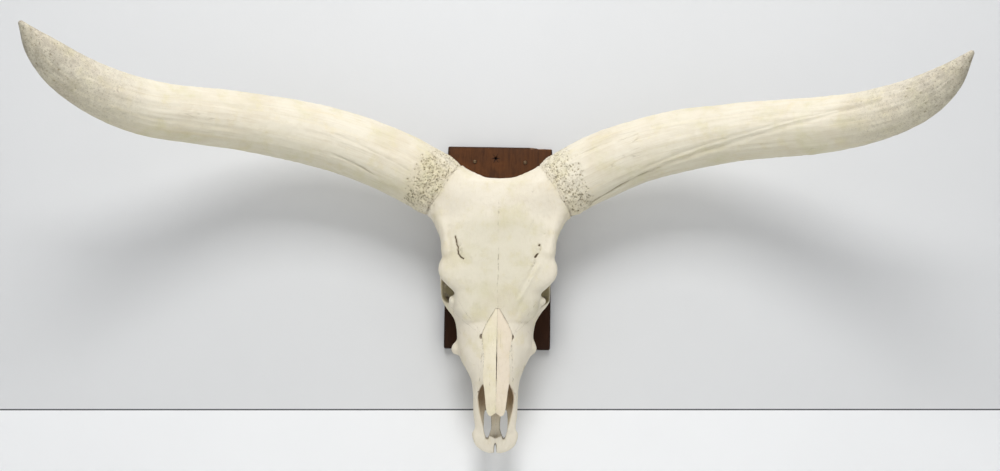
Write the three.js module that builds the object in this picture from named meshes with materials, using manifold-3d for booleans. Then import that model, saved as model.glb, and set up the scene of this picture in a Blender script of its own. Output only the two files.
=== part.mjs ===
// A longhorn steer skull with bare horn cores, carried nose down on an upright wooden board.
// Millimetres. +X is the viewer's right, +Y runs into the wall, +Z is up.
// The origin is the middle of the board's back face.
import * as THREE from 'three';
import { mergeVertices } from 'three/addons/utils/BufferGeometryUtils.js';
import Module from 'manifold-3d';

const wasm = await Module();
wasm.setup();

// ---------- driving dimensions ----------

const GAP = 0.3; // clearance between neighbouring pieces
const SIDES = [
  { name: 'left', sign: -1 },
  { name: 'right', sign: 1 },
];

const BOARD = { width: 220, height: 426, thickness: 20, edge: 2.5, chipWidth: 40, chipDepth: 2.4 };
const BOARD_FRONT = -BOARD.thickness;
const SCREW = { x: 53, z: 180, headRadius: 4.2, shankRadius: 1.8, shankLength: 6, headHeight: 2.6 };
const REST_PLANE = BOARD_FRONT - GAP; // where condyles and cheek teeth touch the board

// Forehead plate, from the poll down to the root of the nose.
const FOREHEAD = [
  { z: 104, half: 92, front: -171, back: -118, widest: -146 },
  { z: 60, half: 108, front: -176, back: -120, widest: -146 },
  { z: 22, half: 115, front: -178, back: -124, widest: -148 },
  { z: -16, half: 110, front: -180, back: -129, widest: -150 },
  { z: -36, half: 110.5, front: -181.5, back: -131, widest: -151 },
  { z: -57, half: 116.5, front: -183, back: -133, widest: -151 },
  { z: -68, half: 118, front: -184, back: -134, widest: -151 },
  { z: -82, half: 114, front: -185, back: -134, widest: -152 },
  { z: -98, half: 101, front: -186, back: -132, widest: -152 },
  { z: -114, half: 86, front: -187, back: -126, widest: -149 },
  { z: -147, half: 84, front: -188, back: -112, widest: -136 },
  { z: -168, half: 70, front: -186, back: -104, widest: -130 },
];
const FOREHEAD_POWER = { front: 2.7, back: 2 };

// Face, from the orbits down to the front of the muzzle.
const FACE = [
  { z: -112, half: 66, front: -180, back: -58, widest: -112 },
  { z: -132, half: 82, front: -185, back: -54, widest: -108 },
  { z: -150, half: 83, front: -188, back: -52, widest: -106 },
  { z: -168, half: 78, front: -187.5, back: -51, widest: -104 },
  { z: -190, half: 75.5, front: -186, back: -51, widest: -102 },
  { z: -205, half: 75.5, front: -183.5, back: -51, widest: -101 },
  { z: -217, half: 76.5, front: -181, back: -51.5, widest: -100 },
  { z: -226, half: 74, front: -179, back: -52, widest: -100 },
  { z: -238, half: 69, front: -176, back: -53, widest: -103 },
  { z: -261, half: 58, front: -171, back: -56, widest: -106 },
  { z: -284, half: 49, front: -163, back: -64, widest: -108 },
  { z: -306, half: 45, front: -148, back: -69, widest: -106 },
  { z: -345, half: 43.5, front: -122, back: -69, widest: -98 },
  { z: -376, half: 40.5, front: -105, back: -69, widest: -91 },
  { z: -388, half: 46, front: -98, back: -69, widest: -86 },
  { z: -406, half: 41.5, front: -91, back: -70, widest: -82 },
  { z: -419, half: 28.5, front: -86, back: -71, widest: -79 },
  { z: -425, half: 15, front: -82, back: -73, widest: -78 },
];
const FACE_POWER = { front: 2.25, back: 3.2 };

// Braincase under the forehead plate, from the nape down to the orbits.
const BRAINCASE = [
  { z: 99, half: 60, front: -160, back: -62, widest: -108 },
  { z: 84, half: 67, front: -160, back: -54, widest: -104 },
  { z: 40, half: 66, front: -150, back: -54, widest: -102 },
  { z: -10, half: 58, front: -150, back: -60, widest: -104 },
  { z: -60, half: 50, front: -150, back: -66, widest: -108 },
  { z: -125, half: 50, front: -150, back: -64, widest: -108 },
];
const BRAINCASE_POWER = { front: 2.3, back: 2.3 };

// Nape plate, measured along the depth of the skull: level of its middle, half width, half height.
const NAPE = [
  { y: -166, half: 66, level: 84, height: 18 },
  { y: -140, half: 73, level: 81, height: 20 },
  { y: -110, half: 83, level: 78, height: 22 },
  { y: -86, half: 97, level: 72, height: 22 },
  { y: -70, half: 97, level: 70, height: 20 },
  { y: -56, half: 78, level: 72, height: 17 },
];
const NAPE_POWER = 2.6;

// Bony bar from the middle of the poll out to the foot of each horn core.
const YOKE = [
  { x: 0, y: -141, z: 77, reach: 38, depth: 31 },
  { x: 40, y: -139, z: 83, reach: 42, depth: 37 },
  { x: 68, y: -137, z: 89, reach: 47, depth: 43 },
  { x: 92, y: -136, z: 93, reach: 54, depth: 49 },
  { x: 108, y: -135, z: 96, reach: 59.5, depth: 51.5 },
  { x: 118, y: -135, z: 101, reach: 60, depth: 51.5 },
];

// Web of bone that runs from under each horn core down the temple to the orbit.
const TEMPLE = [
  { x: 119, y: -139, z: 66, reach: 25, depth: 35 },
  { x: 112.5, y: -144, z: 34, reach: 19, depth: 29 },
  { x: 105, y: -150, z: 2, reach: 11.5, depth: 24 },
  { x: 101, y: -152, z: -30, reach: 9, depth: 20 },
];

// Horn cores, each from its collar to its tip: middle of the core, half thickness and half depth.
const HORN_CORE = {
  left: [
    { x: 110, y: -135, z: 95.5, reach: 59.5, depth: 52.5 },
    { x: 116, y: -135, z: 99.5, reach: 64.5, depth: 57 },
    { x: 130, y: -136, z: 107.8, reach: 65, depth: 58 },
    { x: 159, y: -138, z: 124.5, reach: 64.5, depth: 57 },
    { x: 220, y: -142, z: 153.5, reach: 65.5, depth: 57 },
    { x: 316.5, y: -152, z: 187, reach: 63.5, depth: 56 },
    { x: 412, y: -170, z: 206, reach: 61.5, depth: 55 },
    { x: 504, y: -205, z: 214, reach: 59, depth: 53 },
    { x: 588, y: -255, z: 213, reach: 57, depth: 50.5 },
    { x: 666, y: -315, z: 211, reach: 54.5, depth: 47 },
    { x: 739, y: -385, z: 224, reach: 49, depth: 42 },
    { x: 788, y: -445, z: 246, reach: 41, depth: 34 },
    { x: 820, y: -500, z: 274, reach: 28, depth: 23 },
    { x: 842, y: -545, z: 306, reach: 5, depth: 5 },
  ],
  right: [
    { x: 110, y: -135, z: 97.2, reach: 60, depth: 53 },
    { x: 116, y: -135, z: 101, reach: 65, depth: 57.5 },
    { x: 130, y: -136, z: 109.8, reach: 65.5, depth: 58 },
    { x: 152, y: -138, z: 123.5, reach: 65, depth: 57.5 },
    { x: 199, y: -142, z: 148, reach: 66, depth: 58 },
    { x: 271, y: -152, z: 176.5, reach: 65, depth: 57 },
    { x: 366, y: -170, z: 199.5, reach: 62, depth: 55.5 },
    { x: 457.5, y: -205, z: 208.5, reach: 58.5, depth: 54 },
    { x: 543, y: -255, z: 207.5, reach: 57.5, depth: 51.5 },
    { x: 622, y: -315, z: 203, reach: 54, depth: 47.5 },
    { x: 694, y: -385, z: 204.5, reach: 49.5, depth: 42.5 },
    { x: 754, y: -445, z: 219.5, reach: 41.5, depth: 34.5 },
    { x: 791.5, y: -500, z: 243.5, reach: 28.5, depth: 23 },
    { x: 821.5, y: -545, z: 280.5, reach: 5, depth: 5 },
  ],
};

// Cheek arch: from the ear region along the cheek, under the orbit and into the face.
const CHEEK_ARCH = {
  left: [
    { x: 84, y: -80, z: 62, reach: 9, depth: 13 },
    { x: 98, y: -84, z: 28, reach: 6.5, depth: 11 },
    { x: 105, y: -88, z: -20, reach: 6, depth: 9 },
    { x: 110, y: -91, z: -60, reach: 6, depth: 11 },
    { x: 112.5, y: -95, z: -94, reach: 4, depth: 13 },
    { x: 108, y: -99, z: -120, reach: 4.5, depth: 14 },
    { x: 92, y: -102, z: -139, reach: 7, depth: 15 },
    { x: 73, y: -103, z: -160, reach: 8, depth: 15 },
  ],
  right: [
    { x: 84, y: -80, z: 62, reach: 9, depth: 13 },
    { x: 96, y: -84, z: 28, reach: 6.5, depth: 11 },
    { x: 100, y: -88, z: -20, reach: 6, depth: 9 },
    { x: 101, y: -91, z: -60, reach: 6, depth: 11 },
    { x: 102, y: -95, z: -94, reach: 4.5, depth: 13 },
    { x: 99.5, y: -99, z: -120, reach: 5, depth: 14 },
    { x: 86, y: -102, z: -139, reach: 7, depth: 15 },
    { x: 70, y: -103, z: -160, reach: 8, depth: 15 },
  ],
};
// Bar behind the orbit, from the forehead's edge to the cheek arch.
const ORBIT_BAR = {
  left: [
    { x: 108, y: -152, z: -58, reach: 8, depth: 11 },
    { x: 110.5, y: -130, z: -60, reach: 6, depth: 9 },
    { x: 111, y: -108, z: -61, reach: 5.5, depth: 8 },
    { x: 110, y: -91, z: -60, reach: 6, depth: 9 },
  ],
  right: [
    { x: 108, y: -152, z: -58, reach: 8, depth: 11 },
    { x: 108, y: -130, z: -60, reach: 6, depth: 9 },
    { x: 104.5, y: -108, z: -61, reach: 5.5, depth: 8 },
    { x: 101, y: -91, z: -60, reach: 6, depth: 9 },
  ],
};
const ORBIT = {
  left: { x: 88, y: -123, z: -98, acrossX: 48, acrossY: 27, acrossZ: 31 },
  right: { x: 84, y: -123, z: -99, acrossX: 44, acrossY: 27, acrossZ: 31 },
};
const LACRIMAL_BULLA = {
  left: { x: 78, y: -90, z: -101, acrossX: 34, acrossY: 13, acrossZ: 28 },
  right: { x: 73, y: -90, z: -101, acrossX: 31, acrossY: 13, acrossZ: 28 },
};
// Plate of bone that closes the face under the orbit.
const ORBIT_FLOOR = {
  left: { x: 84, y: -122, z: -134, acrossX: 14, acrossY: 20, acrossZ: 12 },
  right: { x: 77, y: -124, z: -136, acrossX: 12, acrossY: 17, acrossZ: 12 },
};
const LACRIMAL_KNOB = { x: 88, y: -141, z: -129, acrossX: 9, acrossY: 9, acrossZ: 9 };

// Swelling on the side of the face above the cheek teeth.
const FACE_TUBER = {
  left: { x: 78, y: -99, z: -220, acrossX: 11, acrossY: 15, acrossZ: 11 },
  right: { x: 71, y: -99, z: -216, acrossX: 11, acrossY: 15, acrossZ: 12 },
};

// Under side of the skull.
const CONDYLE = { x: 28, y: -42, z: 90, acrossX: 20, acrossY: REST_PLANE + 42, acrossZ: 19 };
const FORAMEN = { x: 0, y: -70, z: 108, acrossX: 19, acrossY: 17, acrossZ: 30 };
const EAR_BULLA = { x: 44, y: -52, z: 42, acrossX: 14, acrossY: 17, acrossZ: 19 };
const NAPE_SPUR = [
  { x: 62, y: -72, z: 74, reach: 14, depth: 15 },
  { x: 63, y: -50, z: 72, reach: 10, depth: 11 },
  { x: 60, y: -24.5, z: 66, reach: 4, depth: 5 },
];
const SKULL_BASE = [
  { x: 0, y: -58, z: 88, reach: 16, depth: 15 },
  { x: 0, y: -56, z: 40, reach: 15, depth: 13 },
  { x: 0, y: -60, z: -20, reach: 13, depth: 12 },
  { x: 0, y: -66, z: -70, reach: 12, depth: 10 },
];
const PALATE_WING = { x: 22, thickness: 5, top: -28, bottom: -105, front: -76, back: -42 };
const PALATE_BACK = -30;
const PALATE = [
  { z: -100, half: 32, vault: -66 },
  { z: -130, half: 36, vault: -71 },
  { z: -190, half: 36, vault: -74 },
  { z: -250, half: 31, vault: -74 },
  { z: -300, half: 26, vault: -72 },
  { z: -330, half: 22, vault: -69.5 },
];

// Upper cheek teeth, first premolar lowest, last molar highest; the last row's crown meets the board.
const CHEEK_TEETH = [
  { z: -263, x: 45, length: 15, breadth: 17 },
  { z: -246, x: 49, length: 18, breadth: 20 },
  { z: -226, x: 53, length: 20, breadth: 22 },
  { z: -203, x: 57, length: 24, breadth: 24 },
  { z: -176, x: 60, length: 28, breadth: 25 },
  { z: -146, x: 61, length: 31, breadth: 24 },
];
const TOOTH_ROOT = -74;
const TOOTH_NECK = -36;
const TOOTH_POWER = 3.4;
// Ridge of the upper jaw that holds the cheek teeth.
const TOOTH_RIDGE = [
  { x: 43, y: -68, z: -274, reach: 9, depth: 16 },
  { x: 51, y: -62, z: -238, reach: 12, depth: 18 },
  { x: 57, y: -60, z: -200, reach: 14, depth: 18 },
  { x: 60, y: -60, z: -160, reach: 15, depth: 18 },
  { x: 58, y: -62, z: -124, reach: 14, depth: 18 },
];

// Nasal bones: half width of the pair and height of the roof of the nose.
const NASAL = [
  { z: -146, half: 3.5, front: -188.5 },
  { z: -160, half: 12, front: -188 },
  { z: -180, half: 23, front: -187.4 },
  { z: -198, half: 29.5, front: -185.6 },
  { z: -215, half: 27.5, front: -182.6 },
  { z: -243, half: 24.5, front: -176.6 },
  { z: -265, half: 26, front: -171.5 },
  { z: -283, half: 26, front: -166.5 },
  { z: -305, half: 23, front: -160.5 },
  { z: -328, half: 20.5, front: -154.5 },
  { z: -343, half: 18.5, front: -150 },
  { z: -352.5, half: 14.5, front: -146.5 },
];
const NASAL_WIDEST = Math.max(...NASAL.map((station) => station.half));
const NASAL_THICKNESS = 7;
const NASAL_CLEARANCE = 4; // how far the skull is cleared in front of the nasal bones
const NASAL_ARCH = 7; // how far the outer edge of the roof lies behind its middle
const NASAL_TIP = { z: -354, notch: 8, below: 4, cutDepth: 60 };

// Nasal cavity, open in front of the nasal bones' tips and roofed by them higher up.
const CAVITY = [
  { z: -172, half: 8, front: -183, back: -150 },
  { z: -200, half: 19, front: -181, back: -120 },
  { z: -240, half: 21, front: -172, back: -104 },
  { z: -275, half: 24, front: -165, back: -96 },
  { z: -316, half: 34.5, front: -160, back: -90 },
  { z: -336, half: 33, front: -160, back: -88 },
  { z: -360, half: 29, front: -160, back: -86 },
  { z: -376, half: 25, front: -160, back: -84 },
  { z: -392, half: 12.5, front: -160, back: -83 },
  { z: -395, half: 7, front: -160, back: -83 },
];
// Openings that run right through the front of the muzzle.
const PALATE_SLOT = { x: 16.8, y: -80, z: -365.5, acrossX: 7.4, acrossY: 40, acrossZ: 27.5 };
const FRONT_NOTCH = { x: 0, y: -80, z: -413.5, acrossX: 3.4, acrossY: 40, acrossZ: 7 };

// Planes that part the skull.
const FACE_PARTING = { z: -200, y: -185, x: 30, perY: 0.654, perX: 0.45 };
const MUZZLE_PARTING = { z: -296, y: -150, perY: -0.62 };
const CROWN_PARTING = -121; // level that parts the frontal bones from the braincase behind them
const ARCH_PARTING = { top: 44, front: -128, clearance: 3 };
const FAR = 700;

// Corners round each kind of section, and rings along each kind of bar.
const FACETS = { body: 16, core: 10, tooth: 8, cavity: 8, egg: 8, eggRings: 5, screw: 8 };
const BARS = {
  horn: { rings: 20, facets: 14 },
  yoke: { rings: 5, facets: 12 },
  arch: { rings: 8, facets: 6 },
  ridge: { rings: 5, facets: 6 },
  base: { rings: 4, facets: 6 },
  spur: { rings: 4, facets: 6 },
};
const CAVITY_POWER = 2.6;

const MATERIAL = {
  bone: { color: 0xe9e2cf, roughness: 0.62, metalness: 0 },
  horn: { color: 0xe6dfca, roughness: 0.7, metalness: 0 },
  wood: { color: 0x5b3728, roughness: 0.55, metalness: 0 },
  steel: { color: 0xb9b9b6, roughness: 0.35, metalness: 1 },
};

// ---------- geometry helpers ----------

/** Smooth curve through stations that never overshoots them (monotone cubic). */
function track(stations, along, key) {
  const sorted = [...stations].sort((a, b) => a[along] - b[along]);
  const u = sorted.map((station) => station[along]);
  const v = sorted.map((station) => station[key]);
  const slope = u.slice(1).map((right, i) => (v[i + 1] - v[i]) / (right - u[i]));
  const tangent = v.map((_, i) => {
    if (i === 0) return slope[0];
    if (i === v.length - 1) return slope[i - 1];
    if (slope[i - 1] * slope[i] <= 0) return 0;
    return (2 * slope[i - 1] * slope[i]) / (slope[i - 1] + slope[i]);
  });
  return (at) => {
    const i = Math.max(0, Math.min(u.length - 2, u.findIndex((right) => right > at) - 1));
    const last = at >= u[u.length - 1] ? u.length - 2 : i;
    const step = u[last + 1] - u[last];
    const t = THREE.MathUtils.clamp((at - u[last]) / step, 0, 1);
    const rise = t * t * (3 - 2 * t);
    return v[last] * (1 - rise) + v[last + 1] * rise
      + step * tangent[last] * t * (1 - t) * (1 - t)
      - step * tangent[last + 1] * t * t * (1 - t);
  };
}

/** Point on a rounded rectangle: power 2 is an ellipse, higher powers are squarer. */
function rounded(angle, power) {
  const bend = (value) => Math.sign(value) * Math.abs(value) ** (2 / power);
  return { along: bend(Math.cos(angle)), across: bend(Math.sin(angle)) };
}

/** Ring of points, one for each of the equal angles round a section. */
function roundedRing(facets, place) {
  return Array.from({ length: facets }, (_, i) => place((2 * Math.PI * i) / facets));
}

/** Closed solid through rings of equal point count. */
function loft(rings) {
  const count = rings[0].length;
  const points = rings.flat();
  const index = [];
  for (let ring = 0; ring < rings.length - 1; ring += 1) {
    for (let i = 0; i < count; i += 1) {
      const next = (i + 1) % count;
      const a = ring * count + i;
      const b = ring * count + next;
      index.push(a, b, b + count, a, b + count, a + count);
    }
  }
  const lastRing = (rings.length - 1) * count;
  const middle = (ring) => ring.reduce((sum, p) => sum.add(p), new THREE.Vector3()).divideScalar(count);
  points.push(middle(rings[0]), middle(rings[rings.length - 1]));
  for (let i = 0; i < count; i += 1) {
    const next = (i + 1) % count;
    index.push(points.length - 2, next, i);
    index.push(points.length - 1, lastRing + i, lastRing + next);
  }
  const geometry = new THREE.BufferGeometry().setFromPoints(points);
  geometry.setIndex(index);
  return solidOf(geometry);
}

/** Manifold solid of a closed three.js geometry, faces turned outward. */
function solidOf(geometry) {
  const bare = geometry.clone();
  bare.deleteAttribute('normal');
  bare.deleteAttribute('uv');
  const merged = mergeVertices(bare, 1e-4);
  const at = merged.getAttribute('position');
  const corner = [new THREE.Vector3(), new THREE.Vector3(), new THREE.Vector3()];
  const triVerts = Uint32Array.from(merged.getIndex().array);
  let volume = 0;
  for (let i = 0; i < triVerts.length; i += 3) {
    corner.forEach((vector, k) => vector.fromBufferAttribute(at, triVerts[i + k]));
    volume += corner[0].dot(corner[1].clone().cross(corner[2])) / 6;
  }
  if (volume < 0) triVerts.reverse();
  const vertProperties = Float32Array.from(at.array);
  return new wasm.Manifold(new wasm.Mesh({ numProp: 3, vertProperties, triVerts }));
}

/** three.js geometry of a manifold solid. */
function geometryOf(solid) {
  const { numProp, vertProperties, triVerts } = solid.getMesh();
  const positions = [];
  for (let i = 0; i < vertProperties.length; i += numProp) {
    positions.push(vertProperties[i], vertProperties[i + 1], vertProperties[i + 2]);
  }
  const geometry = new THREE.BufferGeometry();
  geometry.setAttribute('position', new THREE.Float32BufferAttribute(positions, 3));
  geometry.setIndex([...triVerts]);
  return geometry;
}

/** Body whose level sections, stacked along Z, are rounded shapes about the mid plane. */
function stackedBody(stations, power, facets) {
  return loft(stations.map(({ z, half, front, back, widest }) => roundedRing(facets, (angle) => {
    const behind = Math.sin(angle) > 0;
    const { along, across } = rounded(angle, behind ? power.back : power.front);
    const reach = behind ? back - widest : widest - front;
    return new THREE.Vector3(half * along, widest + reach * across, z);
  })));
}

/** Bar with an oval section that changes along a smooth path; grown adds clearance all round. */
function bar(stations, side, { rings, facets }, grown = 0) {
  const place = (station) => new THREE.Vector3(side * station.x, station.y, station.z);
  const path = new THREE.CatmullRomCurve3(stations.map(place), false, 'centripetal');
  const steps = stations.map((station, i) => ({ ...station, step: i }));
  const reach = track(steps, 'step', 'reach');
  const depth = track(steps, 'step', 'depth');
  const last = stations.length - 1;
  return loft(Array.from({ length: rings }, (_, ring) => {
    const t = ring / (rings - 1);
    const tangent = path.getTangent(t);
    const centre = path.getPoint(t).addScaledVector(tangent, grown * (t === 0 ? -1 : t === 1 ? 1 : 0));
    const deep = new THREE.Vector3(0, 1, 0).addScaledVector(tangent, -tangent.y);
    if (deep.lengthSq() < 0.1) deep.set(0, 0, 1).addScaledVector(tangent, -tangent.z);
    deep.normalize();
    const wide = new THREE.Vector3().crossVectors(tangent, deep);
    return roundedRing(facets, (angle) => centre.clone()
      .addScaledVector(wide, (reach(t * last) + grown) * Math.cos(angle))
      .addScaledVector(deep, (depth(t * last) + grown) * Math.sin(angle)));
  }));
}

/** Egg shape from a faceted sphere, with its own half size along each axis. */
function egg({ x, y, z, acrossX, acrossY, acrossZ }, side = 1) {
  const geometry = new THREE.SphereGeometry(1, FACETS.egg, FACETS.eggRings);
  geometry.scale(acrossX, acrossY, acrossZ);
  geometry.translate(side * x, y, z);
  return solidOf(geometry);
}

/** Block between two corners. */
function block(low, high) {
  const size = high.map((value, i) => value - low[i]);
  const geometry = new THREE.BoxGeometry(...size);
  geometry.translate(...low.map((value, i) => value + size[i] / 2));
  return solidOf(geometry);
}

/** Both mirrored copies of a piece made by side. */
function pair(make) {
  return make(-1).add(make(1));
}

/** Half space z <= height(x, y), as a deep wedge whose top is a plane. */
function below(height, low, high) {
  const corners = [[low, -FAR], [high, -FAR], [high, FAR], [low, FAR]];
  const top = corners.map(([x, y]) => new THREE.Vector3(x, y, height(x, y)));
  const floor = corners.map(([x, y]) => new THREE.Vector3(x, y, -2 * FAR));
  return loft([floor, top]);
}

// ---------- board and screws ----------

function boardSolid() {
  const { width, height, thickness, edge, chipWidth, chipDepth } = BOARD;
  const outline = new THREE.Shape();
  outline.moveTo(-width / 2 + edge, -height / 2 + edge);
  outline.lineTo(width / 2 - edge, -height / 2 + edge);
  outline.lineTo(width / 2 - edge, height / 2 - edge - chipDepth);
  outline.lineTo(width / 2 - edge - chipWidth * 0.35, height / 2 - edge - chipDepth);
  outline.lineTo(width / 2 - edge - chipWidth, height / 2 - edge);
  outline.lineTo(-width / 2 + edge, height / 2 - edge);
  outline.closePath();
  const geometry = new THREE.ExtrudeGeometry(outline, {
    depth: thickness - 2 * edge,
    bevelEnabled: true,
    bevelSize: edge,
    bevelThickness: edge,
    bevelSegments: 2,
  });
  geometry.rotateX(Math.PI / 2);
  geometry.translate(0, -edge, 0);
  return solidOf(geometry);
}

function screwSolid(side) {
  const { x, z, headRadius, shankRadius, shankLength, headHeight } = SCREW;
  const profile = [
    new THREE.Vector2(0, -shankLength),
    new THREE.Vector2(shankRadius, -shankLength),
    new THREE.Vector2(shankRadius, 0),
    new THREE.Vector2(headRadius, 0),
    new THREE.Vector2(headRadius, headHeight * 0.4),
    new THREE.Vector2(headRadius * 0.6, headHeight),
    new THREE.Vector2(0, headHeight),
  ];
  const geometry = new THREE.LatheGeometry(profile, FACETS.screw);
  geometry.rotateX(Math.PI);
  geometry.translate(side * x, BOARD_FRONT - GAP, z);
  return solidOf(geometry);
}

function screwHole(side) {
  const { x, z, shankRadius, shankLength } = SCREW;
  const radius = shankRadius + GAP;
  const geometry = new THREE.CylinderGeometry(radius, radius, 2 * (shankLength + 2 * GAP), FACETS.screw);
  geometry.translate(side * x, BOARD_FRONT, z);
  return solidOf(geometry);
}

// ---------- horn cores ----------

function hornCore(side, grown = 0) {
  return bar(HORN_CORE[side.name], side.sign, BARS.horn, grown);
}

// ---------- nasal bones ----------

/** Arched strip on one side of the mid line; grown adds clearance all round. */
function nasalBone(side, grown = 0) {
  const across = 4;
  const rings = NASAL.map(({ z, half, front }, ring, all) => {
    const level = z + (ring === 0 ? grown : 0) - (ring === all.length - 1 ? grown : 0);
    const inner = GAP / 2 - grown;
    const width = half + grown - inner;
    const point = (k, thick) => {
      const x = inner + (width * k) / (across - 1);
      const sink = NASAL_ARCH * (x / NASAL_WIDEST) ** 2;
      const thin = 1 - 0.45 * (k / (across - 1)) ** 2;
      const inwards = thick ? NASAL_THICKNESS * thin + grown : -(grown > 0 ? NASAL_CLEARANCE : 0);
      return new THREE.Vector3(side * x, front + sink + inwards, level);
    };
    const outside = Array.from({ length: across }, (_, k) => point(k, false));
    const inside = Array.from({ length: across }, (_, k) => point(across - 1 - k, true));
    return [...outside, ...inside];
  });
  return loft(rings);
}

function nasalNotch() {
  const outline = new THREE.Shape();
  outline.moveTo(-NASAL_TIP.notch, NASAL_TIP.z - NASAL_TIP.below);
  outline.lineTo(NASAL_TIP.notch, NASAL_TIP.z - NASAL_TIP.below);
  outline.lineTo(0, NASAL_TIP.z + NASAL_TIP.notch);
  outline.closePath();
  const tip = NASAL[NASAL.length - 1];
  const geometry = new THREE.ExtrudeGeometry(outline, { depth: NASAL_TIP.cutDepth, bevelEnabled: false });
  geometry.rotateX(Math.PI / 2);
  geometry.translate(0, tip.front + NASAL_TIP.cutDepth / 2, 0);
  return solidOf(geometry);
}

// ---------- skull in one piece, then parted ----------

function cheekTooth(tooth, side) {
  const ring = (y, scale) => roundedRing(FACETS.tooth, (angle) => {
    const { along, across } = rounded(angle, TOOTH_POWER);
    const x = side * tooth.x + (tooth.breadth / 2) * scale * along;
    return new THREE.Vector3(x, y, tooth.z + (tooth.length / 2) * scale * across);
  });
  return loft([ring(TOOTH_ROOT, 0.86), ring(TOOTH_NECK, 1), ring(REST_PLANE, 0.9)]);
}

function napePlate() {
  return loft(NAPE.map(({ y, half, level, height }) => roundedRing(FACETS.core, (angle) => {
    const { along, across } = rounded(angle, NAPE_POWER);
    return new THREE.Vector3(half * along, y, level + height * across);
  })));
}

function skullBulk() {
  const bulks = [
    stackedBody(FOREHEAD, FOREHEAD_POWER, FACETS.body),
    stackedBody(FACE, FACE_POWER, FACETS.body),
    stackedBody(BRAINCASE, BRAINCASE_POWER, FACETS.core),
    napePlate(),
    pair((side) => bar(YOKE, side, BARS.yoke)),
    pair((side) => bar(TEMPLE, side, BARS.spur)),
    ...SIDES.map(({ name, sign }) => egg(FACE_TUBER[name], sign)),
    ...SIDES.map(({ name, sign }) => bar(CHEEK_ARCH[name], sign, BARS.arch)),
    pair((side) => bar(TOOTH_RIDGE, side, BARS.ridge)),
    bar(SKULL_BASE, 1, BARS.base),
  ];
  return bulks.reduce((sum, bulk) => sum.add(bulk));
}

function skullCuts() {
  const cuts = [
    ...SIDES.map(({ name, sign }) => egg(ORBIT[name], sign)),
    egg(FORAMEN),
    cavitySolid(),
    palateSolid(),
    pair((side) => egg(PALATE_SLOT, side)),
    egg(FRONT_NOTCH),
  ];
  return cuts.reduce((sum, cut) => sum.add(cut));
}

function cavitySolid() {
  return loft(CAVITY.map(({ z, half, front, back }) => roundedRing(FACETS.cavity, (angle) => {
    const { along, across } = rounded(angle, CAVITY_POWER);
    return new THREE.Vector3(half * along, (front + back) / 2 + ((back - front) / 2) * across, z);
  })));
}

function palateSolid() {
  return loft(PALATE.map(({ z, half, vault }) => roundedRing(FACETS.cavity, (angle) => {
    const { along, across } = rounded(angle, CAVITY_POWER);
    return new THREE.Vector3(half * along, PALATE_BACK + (PALATE_BACK - vault) * across, z);
  })));
}

/** Thin upright plate beside the inner nostrils. */
function palateWing(side) {
  const { x, thickness, top, bottom, front, back } = PALATE_WING;
  const edges = [side * x, side * (x + thickness)].sort((a, b) => a - b);
  return block([edges[0], front, bottom], [edges[1], back, top]);
}

function skullAdditions() {
  const makers = [
    (side) => bar(NAPE_SPUR, side, BARS.spur),
    (side) => egg(CONDYLE, side),
    (side) => egg(EAR_BULLA, side),
    (side) => egg(LACRIMAL_KNOB, side),
    palateWing,
    ...CHEEK_TEETH.map((tooth) => (side) => cheekTooth(tooth, side)),
  ];
  const additions = makers.map(pair);
  for (const { name, sign } of SIDES) {
    additions.push(bar(ORBIT_BAR[name], sign, BARS.spur));
    additions.push(egg(LACRIMAL_BULLA[name], sign), egg(ORBIT_FLOOR[name], sign));
  }
  return additions.reduce((sum, added) => sum.add(added));
}

/** Room of one cheek arch, behind the orbit's rim and under the ear; grown adds clearance all round. */
function archRoom({ name, sign }, grown = 0) {
  const clear = ARCH_PARTING.clearance + grown;
  const arch = bar(CHEEK_ARCH[name], sign, BARS.arch, clear)
    .add(bar(ORBIT_BAR[name], sign, BARS.spur, clear));
  const far = [FAR, FAR, ARCH_PARTING.top + grown];
  return arch.intersect(block([-FAR, ARCH_PARTING.front - grown, -FAR], far));
}

function partedSkull() {
  let whole = skullBulk().subtract(skullCuts()).add(skullAdditions());
  for (const side of SIDES) {
    whole = whole.subtract(hornCore(side, GAP)).subtract(nasalBone(side.sign, GAP));
  }
  const faceHeight = (side, shift) => (x, y) => FACE_PARTING.z + shift
    + FACE_PARTING.perY * (y - FACE_PARTING.y)
    + FACE_PARTING.perX * (side * x - FACE_PARTING.x);
  const muzzleHeight = (shift) => (x, y) => MUZZLE_PARTING.z + shift
    + MUZZLE_PARTING.perY * (y - MUZZLE_PARTING.y);
  const pieces = {};
  let upper = whole;
  for (const side of SIDES) {
    const { name, sign } = side;
    const low = sign < 0 ? -FAR : GAP / 2;
    const high = sign < 0 ? -GAP / 2 : FAR;
    const reachLow = sign < 0 ? -FAR : 0;
    const reachHigh = sign < 0 ? 0 : FAR;
    upper = upper.subtract(below(faceHeight(sign, GAP), reachLow, reachHigh));
    pieces[`cheek_arch_${name}`] = upper.intersect(archRoom(side));
    upper = upper.subtract(archRoom(side, GAP));
    const face = whole.intersect(below(faceHeight(sign, 0), low, high));
    pieces[`maxilla_${name}`] = face.subtract(below(muzzleHeight(GAP), -FAR, FAR));
    pieces[`incisive_${name}`] = face.intersect(below(muzzleHeight(0), -FAR, FAR));
  }
  const frontal = upper.intersect(block([-FAR, -FAR, -FAR], [FAR, CROWN_PARTING, FAR]));
  const braincase = upper.intersect(block([-FAR, CROWN_PARTING + GAP, -FAR], [FAR, FAR, FAR]));
  return { frontal, braincase, ...pieces };
}

// ---------- assembly ----------

const part = new THREE.Group();

function addPiece(name, solid, look) {
  const material = new THREE.MeshStandardMaterial(look);
  const mesh = new THREE.Mesh(geometryOf(solid), material);
  mesh.name = name;
  part.add(mesh);
}

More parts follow.
